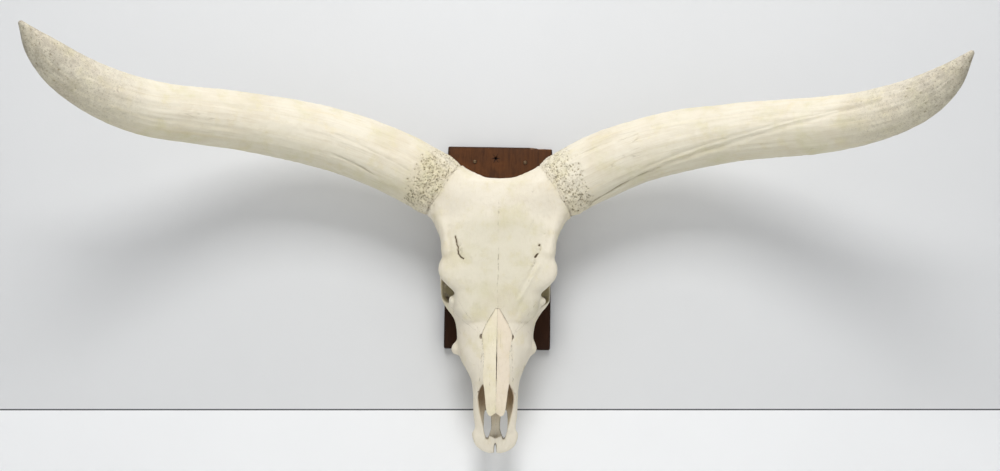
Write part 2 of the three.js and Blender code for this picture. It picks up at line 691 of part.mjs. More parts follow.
const holes = pair(screwHole);
addPiece('board', boardSolid().subtract(holes), MATERIAL.wood);
for (const side of SIDES) {
  addPiece(`screw_${side.name}`, screwSolid(side.sign), MATERIAL.steel);
  addPiece(`horn_core_${side.name}`, hornCore(side), MATERIAL.horn);
  addPiece(`nasal_${side.name}`, nasalBone(side.sign).subtract(nasalNotch()), MATERIAL.bone);
}
for (const [name, solid] of Object.entries(partedSkull())) {
  addPiece(name, solid, MATERIAL.bone);
}

export default part;
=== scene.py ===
"""Longhorn steer skull on its wooden board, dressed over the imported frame.

Tables are in millimetres, as the bones are measured; meshes are made in metres.
+X is the viewer's right, +Y runs into the wall, +Z is up.
"""

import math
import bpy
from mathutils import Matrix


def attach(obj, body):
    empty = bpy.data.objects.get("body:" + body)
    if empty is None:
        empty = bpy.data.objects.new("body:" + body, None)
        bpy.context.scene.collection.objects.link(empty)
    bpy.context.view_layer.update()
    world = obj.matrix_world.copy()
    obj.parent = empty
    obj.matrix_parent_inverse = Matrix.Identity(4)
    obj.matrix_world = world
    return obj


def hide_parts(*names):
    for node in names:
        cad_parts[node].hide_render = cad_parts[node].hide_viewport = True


bl_info = {
    "name": "Longhorn Skull on Board",
    "version": (1, 0, 0),
    "blender": (4, 5, 0),
    "location": "View3D > Sidebar > Skull",
    "description": "Builds a bleached longhorn steer skull, its horn cores and its wooden board",
    "category": "Add Mesh",
}

import bmesh
import bpy
import numpy as np
from bpy.props import FloatProperty, FloatVectorProperty, IntProperty, PointerProperty
from mathutils import Quaternion, Vector

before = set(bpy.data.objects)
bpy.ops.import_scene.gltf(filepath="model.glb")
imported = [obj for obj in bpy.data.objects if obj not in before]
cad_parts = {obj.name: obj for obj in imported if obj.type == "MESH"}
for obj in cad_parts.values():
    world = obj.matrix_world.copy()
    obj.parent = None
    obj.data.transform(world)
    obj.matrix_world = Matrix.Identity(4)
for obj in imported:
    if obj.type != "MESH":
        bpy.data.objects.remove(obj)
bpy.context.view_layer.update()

MM = 0.001
FAR = 999.0
SHARP = math.radians(48)
SIDES = (("left", -1), ("right", 1))
GAP = 0.3
SEAM_GAP = 0.16

# ---------------------------------------------------------------- bone tables

FOREHEAD_POWER = (2.7, 2.0)
FOREHEAD = (  # z, half width, front, back, widest depth
    (104, 92, -171, -118, -146),
    (60, 108, -176, -120, -146),
    (22, 115, -178, -124, -148),
    (-16, 110, -180, -129, -150),
    (-36, 110.5, -181.5, -131, -151),
    (-57, 116.5, -183, -133, -151),
    (-68, 118, -184, -134, -151),
    (-82, 114, -185, -134, -152),
    (-98, 101, -186, -132, -152),
    (-114, 86, -187, -126, -149),
    (-147, 84, -188, -112, -136),
    (-168, 70, -186, -104, -130),
)
FACE_POWER = (2.25, 3.2)
FACE = (
    (-112, 66, -180, -58, -112),
    (-132, 82, -185, -54, -108),
    (-150, 83, -188, -52, -106),
    (-168, 78, -187.5, -51, -104),
    (-190, 75.5, -186, -51, -102),
    (-205, 75.5, -183.5, -51, -101),
    (-217, 76.5, -181, -51.5, -100),
    (-226, 74, -179, -52, -100),
    (-238, 69, -176, -53, -103),
    (-261, 58, -171, -56, -106),
    (-284, 49, -163, -64, -108),
    (-306, 45, -148, -69, -106),
    (-345, 43.5, -122, -69, -98),
    (-376, 40.5, -105, -69, -91),
    (-388, 46, -98, -69, -86),
    (-406, 41.5, -91, -70, -82),
    (-419, 28.5, -86, -71, -79),
    (-425, 15, -82, -73, -78),
)
BRAINCASE_POWER = (2.3, 2.3)
BRAINCASE = (
    (99, 60, -160, -62, -108),
    (84, 67, -160, -54, -104),
    (40, 66, -150, -54, -102),
    (-10, 58, -150, -60, -104),
    (-60, 50, -150, -66, -108),
    (-125, 50, -150, -64, -108),
)
NAPE_POWER = 2.6
NAPE = (  # y, half width, level, half height
    (-166, 66, 84, 18),
    (-140, 73, 81, 20),
    (-110, 83, 78, 22),
    (-86, 97, 72, 22),
    (-70, 97, 70, 20),
    (-56, 78, 72, 17),
)
YOKE = (  # x, y, z, half thickness, half depth
    (0, -141, 77, 38, 31),
    (40, -139, 83, 42, 37),
    (68, -137, 89, 47, 43),
    (92, -136, 93, 54, 49),
    (108, -135, 96, 59.5, 51.5),
    (118, -135, 101, 60, 51.5),
)
# Share of the rings against share of the horn's length: rings stand closest at the pitted collar.
RING_SHARE = (0.0, 0.27, 0.75, 1.0)
RING_PLACE = (0.0, 0.1, 0.68, 1.0)
# Long furrows of the horn cores: half width, depth, then run along the core and angle round it.
HORN_FURROWS = {
    -1: (
        (1.6, 2.0, ((130, -43), (176, -50), (210, -52), (246, -54))),
        (1.3, 1.0, ((60, -80), (150, -84), (260, -92))),
        (1.4, 0.8, ((90, -126), (240, -124), (420, -118))),
    ),
    1: (
        (1.6, 2.6, ((40, -166), (61, -160), (162, -147), (238, -140), (300, -134))),
        (4.6, 2.6, ((225, -141), (300, -134), (366, -128), (500, -104), (629, -80), (716, -69))),
        (2.6, 1.4, ((180, -133), (300, -122), (430, -106), (560, -84), (660, -71))),
        (1.3, 1.0, ((70, -60), (180, -64), (300, -72))),
    ),
}
TEMPLE = (
    (119, -139, 66, 25, 35),
    (112.5, -144, 34, 19, 29),
    (105, -150, 2, 11.5, 24),
    (101, -152, -30, 9, 20),
)
HORN_CORE = {
    "left": (
        (110, -135, 95.5, 59.5, 52.5),
        (116, -135, 99.5, 64.5, 57),
        (130, -136, 107.8, 65, 58),
        (159, -138, 124.5, 64.5, 57),
        (220, -142, 153.5, 65.5, 57),
        (316.5, -152, 187, 63.5, 56),
        (412, -170, 206, 61.5, 55),
        (504, -205, 214, 59, 53),
        (588, -255, 213, 57, 50.5),
        (666, -315, 211, 54.5, 47),
        (739, -385, 224, 49, 42),
        (788, -445, 246, 41, 34),
        (820, -500, 274, 28, 23),
        (842, -545, 306, 5, 5),
    ),
    "right": (
        (110, -135, 97.2, 60, 53),
        (116, -135, 101, 65, 57.5),
        (130, -136, 109.8, 65.5, 58),
        (152, -138, 123.5, 65, 57.5),
        (199, -142, 148, 66, 58),
        (271, -152, 176.5, 65, 57),
        (366, -170, 199.5, 62, 55.5),
        (457.5, -205, 208.5, 58.5, 54),
        (543, -255, 207.5, 57.5, 51.5),
        (622, -315, 203, 54, 47.5),
        (694, -385, 204.5, 49.5, 42.5),
        (754, -445, 219.5, 41.5, 34.5),
        (791.5, -500, 243.5, 28.5, 23),
        (821.5, -545, 280.5, 5, 5),
    ),
}
CHEEK_ARCH = {
    -1: (
        (84, -80, 62, 9, 13),
        (98, -84, 28, 6.5, 11),
        (105, -88, -20, 6, 9),
        (110, -91, -60, 6, 11),
        (112.5, -95, -94, 4, 13),
        (108, -99, -120, 4.5, 14),
        (92, -102, -139, 7, 15),
        (73, -103, -160, 8, 15),
    ),
    1: (
        (84, -80, 62, 9, 13),
        (96, -84, 28, 6.5, 11),
        (100, -88, -20, 6, 9),
        (101, -91, -60, 6, 11),
        (102, -95, -94, 4.5, 13),
        (99.5, -99, -120, 5, 14),
        (86, -102, -139, 7, 15),
        (70, -103, -160, 8, 15),
    ),
}
ORBIT_BAR = {
    -1: ((108, -152, -58, 8, 11), (110.5, -130, -60, 6, 9), (111, -108, -61, 5.5, 8), (110, -91, -60, 6, 9)),
    1: ((108, -152, -58, 8, 11), (108, -130, -60, 6, 9), (104.5, -108, -61, 5.5, 8), (101, -91, -60, 6, 9)),
}
NAPE_SPUR = ((62, -72, 74, 14, 15), (63, -50, 72, 10, 11), (60, -26, 66, 4, 5))
SKULL_BASE = ((0, -58, 88, 16, 15), (0, -56, 40, 15, 13), (0, -60, -20, 13, 12), (0, -66, -70, 12, 10))
TOOTH_RIDGE = (
    (43, -68, -274, 9, 16),
    (51, -62, -238, 12, 18),
    (57, -60, -200, 14, 18),
    (60, -60, -160, 15, 18),
    (58, -62, -124, 14, 18),
)
FACIAL_CREST = ((76, -99, -217, 6, 9), (72, -103, -190, 4, 6), (77, -104, -160, 5, 8), (85, -102, -138, 5, 9))
PALATE_WING = ((24, -78, -30, 3, 9), (24.5, -60, -66, 2.6, 16), (24, -58, -104, 2.8, 14))
EGGS = {  # x, y, z, half sizes; by side where the two differ
    "orbit": {-1: (88, -123, -98, 48, 27, 31), 1: (84, -123, -99, 44, 27, 31)},
    "orbit_floor": {-1: (84, -122, -134, 14, 20, 12), 1: (77, -124, -136, 12, 17, 12)},
    "knob": (88, -141, -126, 8.5, 9, 9),
    "condyle": (28, -42, 90, 20, 21, 19),
    "bulla": (44, -52, 42, 14, 17, 19),
    "foramen": (0, -70, 108, 19, 17, 30),
    "notch": (0, -80, -420, 2.3, 40, 13),
    "snout_hole": (54, -112, -258, 9, 7, 11),
    "gap": (31.5, -182, -201, 2.2, 9, 6),
    "tuber": {-1: (78, -99, -220, 11, 15, 11), 1: (71, -99, -216, 11, 15, 12)},
    "bulla_lacrimal": {-1: (78, -90, -101, 34, 13, 28), 1: (73, -90, -101, 31, 13, 28)},
    "ear": (88, -92, 44, 12, 9, 8),
}
# How much each shape is rounded where it joins the bone or is cut from it, in the order of the work.
FIRST_BARS = ((YOKE, 10, 18), (TEMPLE, 8, 14), (CHEEK_ARCH, 14, 5), (TOOTH_RIDGE, 8, 6), (FACIAL_CREST, 8, 7))
LAST_BARS = ((ORBIT_BAR, 6, 5), (NAPE_SPUR, 6, 5), (PALATE_WING, 8, 4))
LAST_EGGS = (("condyle", 4), ("bulla", 4), ("bulla_lacrimal", 5), ("orbit_floor", 7), ("knob", 8))
CAVITY_POWER = 2.6
CAVITY = (
    (-172, 8, -183, -150, -166),
    (-200, 19, -181, -120, -150),
    (-240, 21, -172, -104, -138),
    (-275, 24, -165, -96, -130),
    (-316, 34.5, -160, -90, -125),
    (-336, 33, -160, -88, -124),
    (-360, 29, -160, -86, -123),
    (-376, 25, -160, -84, -122),
    (-392, 12.5, -160, -83, -121),
    (-395, 7, -160, -83, -121),
)
PALATE = (
    (-100, 32, -66, 6, -30),
    (-130, 36, -71, 11, -30),
    (-190, 36, -74, 14, -30),
    (-250, 31, -74, 14, -30),
    (-300, 26, -72, 12, -30),
    (-330, 22, -69.5, 9.5, -30),
)
NASAL_CLEARANCE = 4.0
REST_PLANE = -20.3
TOOTH_ROOT = -74.0
CHEEK_TEETH = (  # z, x, length, breadth
    (-263, 45, 15, 17),
    (-246, 49, 18, 20),
    (-226, 53, 20, 22),
    (-203, 57, 24, 24),
    (-176, 60, 28, 25),
    (-146, 61, 31, 24),
)
NASAL_ARCH = 7.0
NASAL_WIDEST = 29.5
NASAL_THICKNESS = 7.0
NASAL = (  # z, half width, front
    (-146, 3.5, -188.5),
    (-160, 12, -188),
    (-180, 23, -187.4),
    (-198, 29.5, -185.6),
    (-215, 27.5, -182.6),
    (-243, 24.5, -176.6),
    (-265, 26, -171.5),
    (-283, 26, -166.5),
    (-305, 23, -160.5),
    (-328, 20.5, -154.5),
    (-343, 18.5, -150),
    (-352.5, 14.5, -146.5),
)
FACE_PARTING = (-200.0, -185.0, 30.0, 0.654, 0.45)
MUZZLE_PARTING = (-296.0, -150.0, -0.62)
PALATE_SLOT = (16.8, -366.5, 7.4, 29.0)
CROWN_PARTING = -120.85
ARCH_PARTING = (44.0, -128.0, 3.0)
NASAL_GAP = (-252.0, 34.0, 0.85)
# How far the face's sides stand to the left of a mirrored shape, by level.
FACE_LEAN = {  # level, shift
    -1: (
        (-425, 0),
        (-337, 0.5),
        (-300, 1),
        (-270, 1),
        (-245, 4.5),
        (-232, 3.8),
        (-217, 1.5),
        (-185, 3.2),
        (-150, 2),
        (-125, 0),
    ),
    1: (
        (-425, 1),
        (-337, 1.4),
        (-295, 2.5),
        (-270, 4.8),
        (-245, 5.2),
        (-217, 5),
        (-165, 5),
        (-145, 3.6),
        (-125, 0),
    ),
}
LEAN_START, LEAN_BLEND = 25.0, 30.0
# Lines on the front of the skull: half width, depth, sides, then x and z of the bends.
SEAMS = (
    (0.8, 0.6, (1,), ((1, 62), (-2, 10), (1, -50), (-1, -105), (0, -146))),
    (1.0, 0.65, (1,), ((-1, 68), (-2.5, 52), (-1, 40), (-2.5, 22), (-1, 0))),
    (0.7, 0.8, (1,), ((-0.7, -38), (0.3, -62), (-0.5, -97))),
    (0.7, 0.6, (-1, 1), ((33, -192), (44, -176), (58, -160), (70, -142), (80, -126))),
    (0.7, 0.5, (-1, 1), ((60, -186), (70, -196), (82, -176), (92, -152))),
    (0.8, 0.9, (-1, 1), ((30, -203), (29, -232), (31, -262), (33, -286))),
    (0.5, 0.5, (1,), ((13, -140), (6, -148), (0, -140), (-7, -149), (-13, -142))),
)
BROW_SLITS = (
    (
        1.2,
        4.6,
        (-1,),
        ((85.5, -3), (83.2, -11), (82.2, -20), (80, -24.5), (81, -31), (79, -38), (74.2, -44.2), (69, -48.5)),
    ),
    (1.7, 5.5, (1,), ((80.8, -17.8), (81, -18.8))),
    (1.4, 1.3, (1,), ((83.5, -21), (85.1, -23.5), (82.8, -28.6))),
    (1.4, 5.2, (1,), ((77.8, -36.3), (75, -39.8), (72.5, -42.5))),
    (1.3, 1.8, (1,), ((71.3, -54), (70.9, -55.2))),
    (1.2, 1.6, (1,), ((68.4, -60), (68, -61.2))),
    (1.1, 1.2, (1,), ((65.2, -66.4), (64.8, -67.2))),
    (1.2, 1.5, (1,), ((60.6, -90), (60.2, -91))),
    (1.1, 1.2, (1,), ((91.3, 5.8), (91.4, 4.6))),
)
# Rows of small beads beside the slits, drawn in the same way.
BROW_BEADS = (
    (3.2, 1.7, (-1,), ((79, -9), (76.5, -20), (75.5, -30), (71.5, -41))),
    (2.8, 1.5, (1,), ((71, -45), (66.5, -57), (61.5, -67))),
    (2.6, 1.2, (1,), ((77, -19), (79, -27))),
)
# Soft hollows and swellings on the muzzle's front: depth, x, z and half sizes.
DENTS = (
    (3.0, 15.5, -399, 5.5, 13),
    (1.6, 0, -404, 3.2, 14),
    (-1.2, 26, -399, 6, 12),
    (1.2, 31, -386, 7, 5),
    (-0.9, 7, -398, 4, 9),
)
MUZZLE_FRONT = -79.0
STAINS = ((-76.4, 97, 6), (66.6, 87.5, 5), (22, 70, 4))
NASAL_LINES = (
    (0.6, 0.5, (-1,), ((13.8, -268), (14.1, -280), (13.2, -295))),
    (0.6, 0.35, (1,), ((6.8, -186), (7.4, -205), (6.2, -228))),
    (0.6, 0.4, (-1,), ((6.4, -206), (7.2, -221))),
)
RIDGES = (
    (4.4, -2.3, (1,), ((79, -61), (65, -88), (54, -108), (45, -126))),
    (4.0, 0.9, (1,), ((72, -60), (58, -86), (47, -106), (39, -124))),
    (6.0, -0.8, (-1,), ((66, -70), (54, -100), (46, -136))),
    (7.0, 1.0, (-1, 1), ((80, -40), (66, -70), (52, -110), (42, -150))),
)
WALL = 1.5
BOARD_SIZE = (220.0, 20.0, 426.0)
BOARD_EDGE = 2.5
BOARD_CHIP = (95.0, 213.5, 27.0, 3.2)
BOARD_WORN = 208.5
NAIL = (-9.0, 188.0, 2.2)
NAIL_STAR = (3.6, 9.5, 6)
HOLE_END = -12.0
SCREW = (53.0, 180.0)
SCREW_HOLE = 2.6
SCREW_SEAT = -20.3
SCREW_SIDES = 28
SCREW_PROFILE = (  # radius, height over the board
    (0, -5.8),
    (1.7, -5.8),
    (1.7, 0),
    (4.1, 0),
    (4.2, 0.5),
    (3.9, 1.3),
    (2.9, 2.1),
    (1.5, 2.5),
    (0, 2.5),
)
SCREW_SLOT = (0.8, 0.9)

# ---------------------------------------------------------------- surface spacing

SKULL_BOX = ((-154.0, -198.0, -432.0), (154.0, -16.0, 166.0))
NASAL_BOX = ((-1, -193, -358), (35, -134, -142))
NASAL_STEP, NASAL_QUICK_STEP = 1.0, 1.6
HORN_RINGS, HORN_QUICK_RINGS = (384, 256), (260, 120)
HORN_GIRTH = 56.0
HORN_SEED, HORN_SEED_STEP = 31, 10
PIT_BEADS, PIT_LEAST, PIT_SHADE_SHARE = 3, 0.6, 1.1
PIT_SLOPE, RIM_SLOPE = 0.0007, 0.001

# ---------------------------------------------------------------- stains, painted shade, painted light and stage

SPECK = (0.22, 0.17, 0.12)
TOOTH_LINE = (0.12, 0.08, 0.045)
# Painted shade on the walls of the orbits.
ORBIT_SHADE = (0.33, 0.275, 0.15)
# Painted shade inside the nose: darker higher up inside, lighter near the lower opening.
NOSE_SHADE, NOSE_LIT = (0.37, 0.25, 0.14), (0.60, 0.50, 0.32)
NOSE_LEVELS = (-0.375, -0.31)
# Darkest painted shade in the horn cores' pits and furrows.
HORN_PIT_FLOOR_SHADE = (0.24, 0.20, 0.10)
SEAM_LINE = (0.20, 0.13, 0.07)
CRACK = (0.26, 0.19, 0.11)
PORE = (0.38, 0.29, 0.18)
PIT_SHADE = (0.24, 0.19, 0.085)
YELLOWED = (0.95, 0.93, 0.66)
# Painted shade, slightly greyish green, multiplied over the middle of the forehead and the horn cores'
# undersides.
PAINTED_SHADE_TINT = (0.85, 0.86, 0.83)
WARM_SHARE, GREEN_SHARE = (0.99, 0.93, 0.74), (0.86, 0.87, 0.70)
# Painted light: each nasal bone is made lighter by its own share.
NASAL_PAINTED_LIGHT = {-1: (1.06, 1.05, 0.98), 1: (1.04, 0.99, 0.96)}
WORN_WOOD = (0.36, 0.22, 0.13)
KNOT = (0.006, 0.004, 0.003)
STEEL, RUST = (0.13, 0.085, 0.045), (0.07, 0.035, 0.02)
LIGHTS = (  # name, place, aim, size, setting that powers it and share of that
    ("key", (-0.1, -2.8, 2.04), (0, -0.1, 0.0), 1.25, "key", 1.0),
    ("fill", (0.6, -4.0, -0.1), (0, -0.1, -0.1), 2.6, "fill", 1.0),
    ("sky", (0, -1.0, 2.9), (0, -0.3, 0), 2.6, "fill", 2.6),
    ("behind", (0, 2.6, 1.2), (0, 0, 0), 2.4, "fill", 0.9),
)
WORLD_COLOUR, WORLD_STRENGTH = (0.92, 0.94, 1.0, 1.0), 0.30
WALL_REACH, WALL_TOP, FLOOR_LEVEL = 4000, 2600, -620
FLOOR_REACH, FLOOR_NEAR, FLOOR_FAR = 6000, -7000, 5000
LINE_HEIGHT = 3


# ---------------------------------------------------------------- settings


class SkullSettings(bpy.types.PropertyGroup):
    """Bones of the skull."""

    step: FloatProperty(
        name="Surface Step", description="Spacing of the bone surface",
        default=0.0016, min=0.0012, max=0.006, unit="LENGTH",
    )
    relief: FloatProperty(
        name="Relief", description="Height of the uneven bone surface",
        default=0.0009, min=0.0, unit="LENGTH",
    )
    seam_depth: FloatProperty(
        name="Seam Depth", description="How deep the drawn seams are, as a share",
        default=1.0, min=0.0, max=2.0,
    )
    bone: FloatVectorProperty(
        name="Bone", description="Bleached bone",
        default=(0.80, 0.735, 0.60), subtype="COLOR",
    )
    aged: FloatVectorProperty(
        name="Aged Bone", description="Older, duller bone",
        default=(0.60, 0.50, 0.34), subtype="COLOR",
    )
    # Painted shade, with some stain, deepest in the hollows.
    hollow: FloatVectorProperty(
        name="Hollow", description="Stain deep in the hollows",
        default=(0.11, 0.062, 0.03), subtype="COLOR",
    )
    tooth: FloatVectorProperty(
        name="Tooth", description="Tooth cement",
        default=(0.46, 0.35, 0.20), subtype="COLOR",
    )


class HornSettings(bpy.types.PropertyGroup):
    """Horn cores."""

    pits: FloatProperty(
        name="Pit Density", description="Pits on each square metre where they are thickest",
        default=70000.0, min=0.0,
    )
    pit_width: FloatProperty(
        name="Pit Width", description="Half width of the widest pit",
        default=0.0019, min=0.001, unit="LENGTH",
    )
    pit_depth: FloatProperty(
        name="Pit Depth", description="Depth of the deepest pit",
        default=0.0028, min=0.0, unit="LENGTH",
    )
    pit_length: FloatProperty(
        name="Pit Length", description="How far a pit is drawn out",
        default=0.0024, min=0.0, unit="LENGTH",
    )
    rim: FloatProperty(
        name="Rim Height", description="Height of the rims round the pits",
        default=0.0008, min=0.0, unit="LENGTH",
    )
    seed: IntProperty(name="Seed", description="Seed of the pits' places", default=11)
    core: FloatVectorProperty(
        name="Horn Core", description="Bleached horn core",
        default=(0.78, 0.72, 0.585), subtype="COLOR",
    )
    tip: FloatVectorProperty(
        name="Tip", description="Greyer bone of the tips",
        default=(0.45, 0.40, 0.32), subtype="COLOR",
    )


class BoardSettings(bpy.types.PropertyGroup):
    """Wooden board and its screws."""

    step: FloatProperty(
        name="Surface Step", description="Spacing of the board's surface",
        default=0.002, min=0.0015, max=0.01, unit="LENGTH",
    )
    wood: FloatVectorProperty(
        name="Wood", description="Stained wood",
        default=(0.092, 0.035, 0.0125), subtype="COLOR",
    )
    dark: FloatVectorProperty(
        name="Dark Grain", description="Darker grain and edges",
        default=(0.022, 0.0095, 0.006), subtype="COLOR",
    )


class StageSettings(bpy.types.PropertyGroup):
    """Camera, light, wall and floor."""

    camera: FloatVectorProperty(
        name="Camera Place", description="Where the camera stands",
        default=(0.0026, -2.888, -0.4202), subtype="TRANSLATION",
    )
    rise: FloatProperty(
        name="Camera Rise", description="Upward slope of the view",
        default=math.radians(8.8), subtype="ANGLE",
    )
    roll: FloatProperty(
        name="Camera Roll", description="Turn of the frame",
        default=math.radians(0.95), subtype="ANGLE",
    )
    lens: FloatProperty(
        name="Lens", description="Focal length on a 36 mm frame, in millimetres",
        default=50.0, min=10.0,
    )
    key: FloatProperty(
        name="Key Light", description="Power of the main light",
        default=68.5, min=0.0, unit="POWER",
    )
    fill: FloatProperty(
        name="Fill Light", description="Power of the front fill light",
        default=12.0, min=0.0, unit="POWER",
    )
    wall: FloatVectorProperty(
        name="Wall", description="Pale wall",
        default=(0.70, 0.705, 0.705), subtype="COLOR",
    )
    line: FloatVectorProperty(
        name="Line", description="Thin line above the band",
        default=(0.10, 0.10, 0.10), subtype="COLOR",
    )
    skirting: FloatProperty(
        name="Band Top", description="Height of the paler band's top at the middle",
        default=-0.3383, unit="LENGTH",
    )
    band: FloatVectorProperty(
        name="Band", description="Paler band at the wall's foot",
        default=(0.885, 0.89, 0.89), subtype="COLOR",
    )
    floor: FloatVectorProperty(
        name="Floor", description="Pale floor",
        default=(0.86, 0.865, 0.86), subtype="COLOR",
    )


# ---------------------------------------------------------------- curves and distances


def track(stations, along, key, samples=600):
    """Smooth function through table rows that never overshoots them."""
    rows = sorted((row[along], row[key]) for row in stations)
    u = np.array([row[0] for row in rows], float)
    v = np.array([row[1] for row in rows], float)
    slope = np.diff(v) / np.diff(u)
    tangent = np.empty(len(u))
    tangent[0], tangent[-1] = slope[0], slope[-1]
    for i in range(1, len(u) - 1):
        product = slope[i - 1] * slope[i]
        tangent[i] = 0.0 if product <= 0 else 2 * product / (slope[i - 1] + slope[i])
    fine = np.linspace(u[0], u[-1], samples)
    i = np.clip(np.searchsorted(u, fine) - 1, 0, len(u) - 2)
    width = u[i + 1] - u[i]
    t = (fine - u[i]) / width
    rise = t * t * (3 - 2 * t)
    curve = v[i] * (1 - rise) + v[i + 1] * rise
    curve += width * t * (1 - t) * (tangent[i] * (1 - t) - tangent[i + 1] * t)
    return lambda at: np.interp(at, fine, curve)


def spline(points, at):
    """Centripetal curve through points, read at places counted in points."""
    p = np.array(points, float)
    padded = np.vstack([2 * p[0] - p[1], p, 2 * p[-1] - p[-2]])
    chord = np.sqrt(np.linalg.norm(np.diff(padded, axis=0), axis=1))
    i = np.clip(np.floor(at).astype(int), 0, len(p) - 2)
    t = (at - i)[:, None]
    p0, p1, p2, p3 = (padded[i + k] for k in range(4))
    d0, d1, d2 = (chord[i + k][:, None] for k in range(3))
    start = ((p1 - p0) / d0 - (p2 - p0) / (d0 + d1) + (p2 - p1) / d1) * d1
    end = ((p2 - p1) / d1 - (p3 - p1) / (d1 + d2) + (p3 - p2) / d2) * d1
    rise = t * t * (3 - 2 * t)
    return p1 * (1 - rise) + p2 * rise + t * (1 - t) * (start * (1 - t) - end * t)


def random_at(cell, seed):
    """Repeatable random number from -1 to 1 for every lattice cell."""
    mixed = cell[..., 0] * 73856093 ^ cell[..., 1] * 19349663 ^ cell[..., 2] * 83492791 ^ seed * 2654435761
    mixed = (mixed ^ (mixed >> 13)) * 1274126177
    return ((mixed ^ (mixed >> 16)) & 0xFFFF) / 32767.5 - 1.0


def noise(p, size, seed):
    """Smooth random field with bumps about as wide as size."""
    q = p / size
    cell = np.floor(q).astype(np.int64)
    f = q - cell
    f = f * f * (3 - 2 * f)
    total = np.zeros(len(p))
    for corner in range(8):
        offset = np.array([corner & 1, corner >> 1 & 1, corner >> 2 & 1])
        weight = np.where(offset, f, 1 - f).prod(axis=1)
        total += weight * random_at(cell + offset, seed)
    return total


def blend_union(a, b, k):
    """Nearer of two distances, rounded over about k."""
    if k <= 0:
        return np.minimum(a, b)
    h = np.clip(0.5 + 0.5 * (b - a) / k, 0, 1)
    return b + (a - b) * h - k * h * (1 - h)


def stacked(stations, power):
    """Distance to a body whose level sections are rounded shapes about the mid plane."""
    half, front, back, widest = (track(stations, 0, key) for key in (1, 2, 3, 4))
    low, high = min(row[0] for row in stations), max(row[0] for row in stations)
    reach = max(row[1] for row in stations)
    y_low, y_high = min(row[2] for row in stations), max(row[3] for row in stations)

    def distance(p):
        z = np.clip(p[:, 2], low, high)
        middle = widest(z)
        behind = p[:, 1] > middle
        side = half(z)
        depth = np.where(behind, back(z) - middle, middle - front(z))
        n = np.where(behind, power[1], power[0])
        u = np.abs(p[:, 0]) / side
        v = np.abs(p[:, 1] - middle) / depth
        q = np.maximum((u**n + v**n) ** (1 / n), 1e-3)
        slope = np.hypot((u / q) ** (n - 1) / side, (v / q) ** (n - 1) / depth)
        flat = (q - 1) / np.maximum(slope, 1e-4)
        ends = np.maximum(p[:, 2] - high, low - p[:, 2])
        return -blend_union(-flat, -ends, 5.0)

    return distance, (-reach, y_low, low), (reach, y_high, high)


def nape_plate():
    """Distance to the plate at the back of the head."""
    half, level, height = (track(NAPE, 0, key) for key in (1, 2, 3))
    low, high = NAPE[0][0], NAPE[-1][0]

    def distance(p):
        y = np.clip(p[:, 1], low, high)
        u = np.abs(p[:, 0]) / half(y)
        v = np.abs(p[:, 2] - level(y)) / height(y)
        q = np.maximum((u**NAPE_POWER + v**NAPE_POWER) ** (1 / NAPE_POWER), 1e-3)
        n = NAPE_POWER - 1
        slope = np.hypot((u / q) ** n / half(y), (v / q) ** n / height(y))
        flat = (q - 1) / slope
        return -blend_union(-flat, -np.maximum(p[:, 1] - high, low - p[:, 1]), 6.0)

    return distance, (-100, low, 50), (100, high, 106)


def sided(rows, side):
    """Rows of one side, where the two sides differ."""
    return rows[side] if isinstance(rows, dict) else rows


def egg(name, side=1):
    """Distance to one of the named eggs."""
    x, y, z, a, b, c = sided(EGGS[name], side)
    centre = np.array([side * x, y, z], float)
    radius = np.array([a, b, c], float)

    def distance(p):
        k = np.maximum(np.linalg.norm((p - centre) / radius, axis=1), 1e-3)
        slope = np.linalg.norm((p - centre) / radius**2, axis=1) / k
        return (k - 1) / np.maximum(slope, 1e-4)

    return distance, tuple(centre - radius), tuple(centre + radius)


def bar(stations, side=1, steps=10, grown=0.0):
    """Distance to a bar with an oval section that changes along a smooth path."""
    at = np.linspace(0, len(stations) - 1, steps + 1)
    path = spline([row[:3] for row in stations], at) * np.array([side, 1, 1])
    index = [(k, row[3], row[4]) for k, row in enumerate(stations)]
    reach = track(index, 0, 1)(at) + grown
    depth = track(index, 0, 2)(at) + grown

    def distance(p):
        best = np.full(len(p), FAR)
        for k in range(steps):
            axis = path[k + 1] - path[k]
            length = np.linalg.norm(axis)
            axis = axis / length
            deep = np.array([0.0, 1.0, 0.0]) - axis[1] * axis
            if deep @ deep < 0.1:
                deep = np.array([0.0, 0.0, 1.0]) - axis[2] * axis
            deep = deep / np.linalg.norm(deep)
            wide = np.cross(axis, deep)
            away = p - path[k]
            run = away @ axis
            t = np.clip(run / length, 0, 1)
            r = reach[k] + (reach[k + 1] - reach[k]) * t
            d = depth[k] + (depth[k + 1] - depth[k]) * t
            u, v, w = (away @ wide) / r, (away @ deep) / d, (run - t * length) / np.minimum(r, d)
            q = np.maximum(np.sqrt(u * u + v * v + w * w), 1e-3)
            slope = np.sqrt((u / r) ** 2 + (v / d) ** 2 + (w / np.minimum(r, d)) ** 2) / q
            best = np.minimum(best, (q - 1) / np.maximum(slope, 1e-3))
        return best

    width = max(reach.max(), depth.max())
    return distance, tuple(path.min(0) - width), tuple(path.max(0) + width)


def collar_wave(p):
    """Uneven run of the line where a horn core leaves the skull."""
    return 1.6 * noise(p, 15.0, 61) + 1.0 * noise(p, 6.0, 62)


def horn_seat(name, side):
    """Distance to the flat-based room that a horn core fills."""
    rows = HORN_CORE[name][:6]
    distance, low, high = bar(rows, side, 10, SEAM_GAP)
    base = np.array(rows[0][:3], float) * np.array([side, 1, 1])
    start = spline([row[:3] for row in rows], np.array([0.0, 0.02]))
    tangent = np.diff(start, axis=0)[0] * np.array([side, 1, 1])
    tangent /= np.linalg.norm(tangent)

    def flat_based(p):
        return np.maximum(distance(p), (base - p) @ tangent + collar_wave(p) - SEAM_GAP)

    return flat_based, low, high


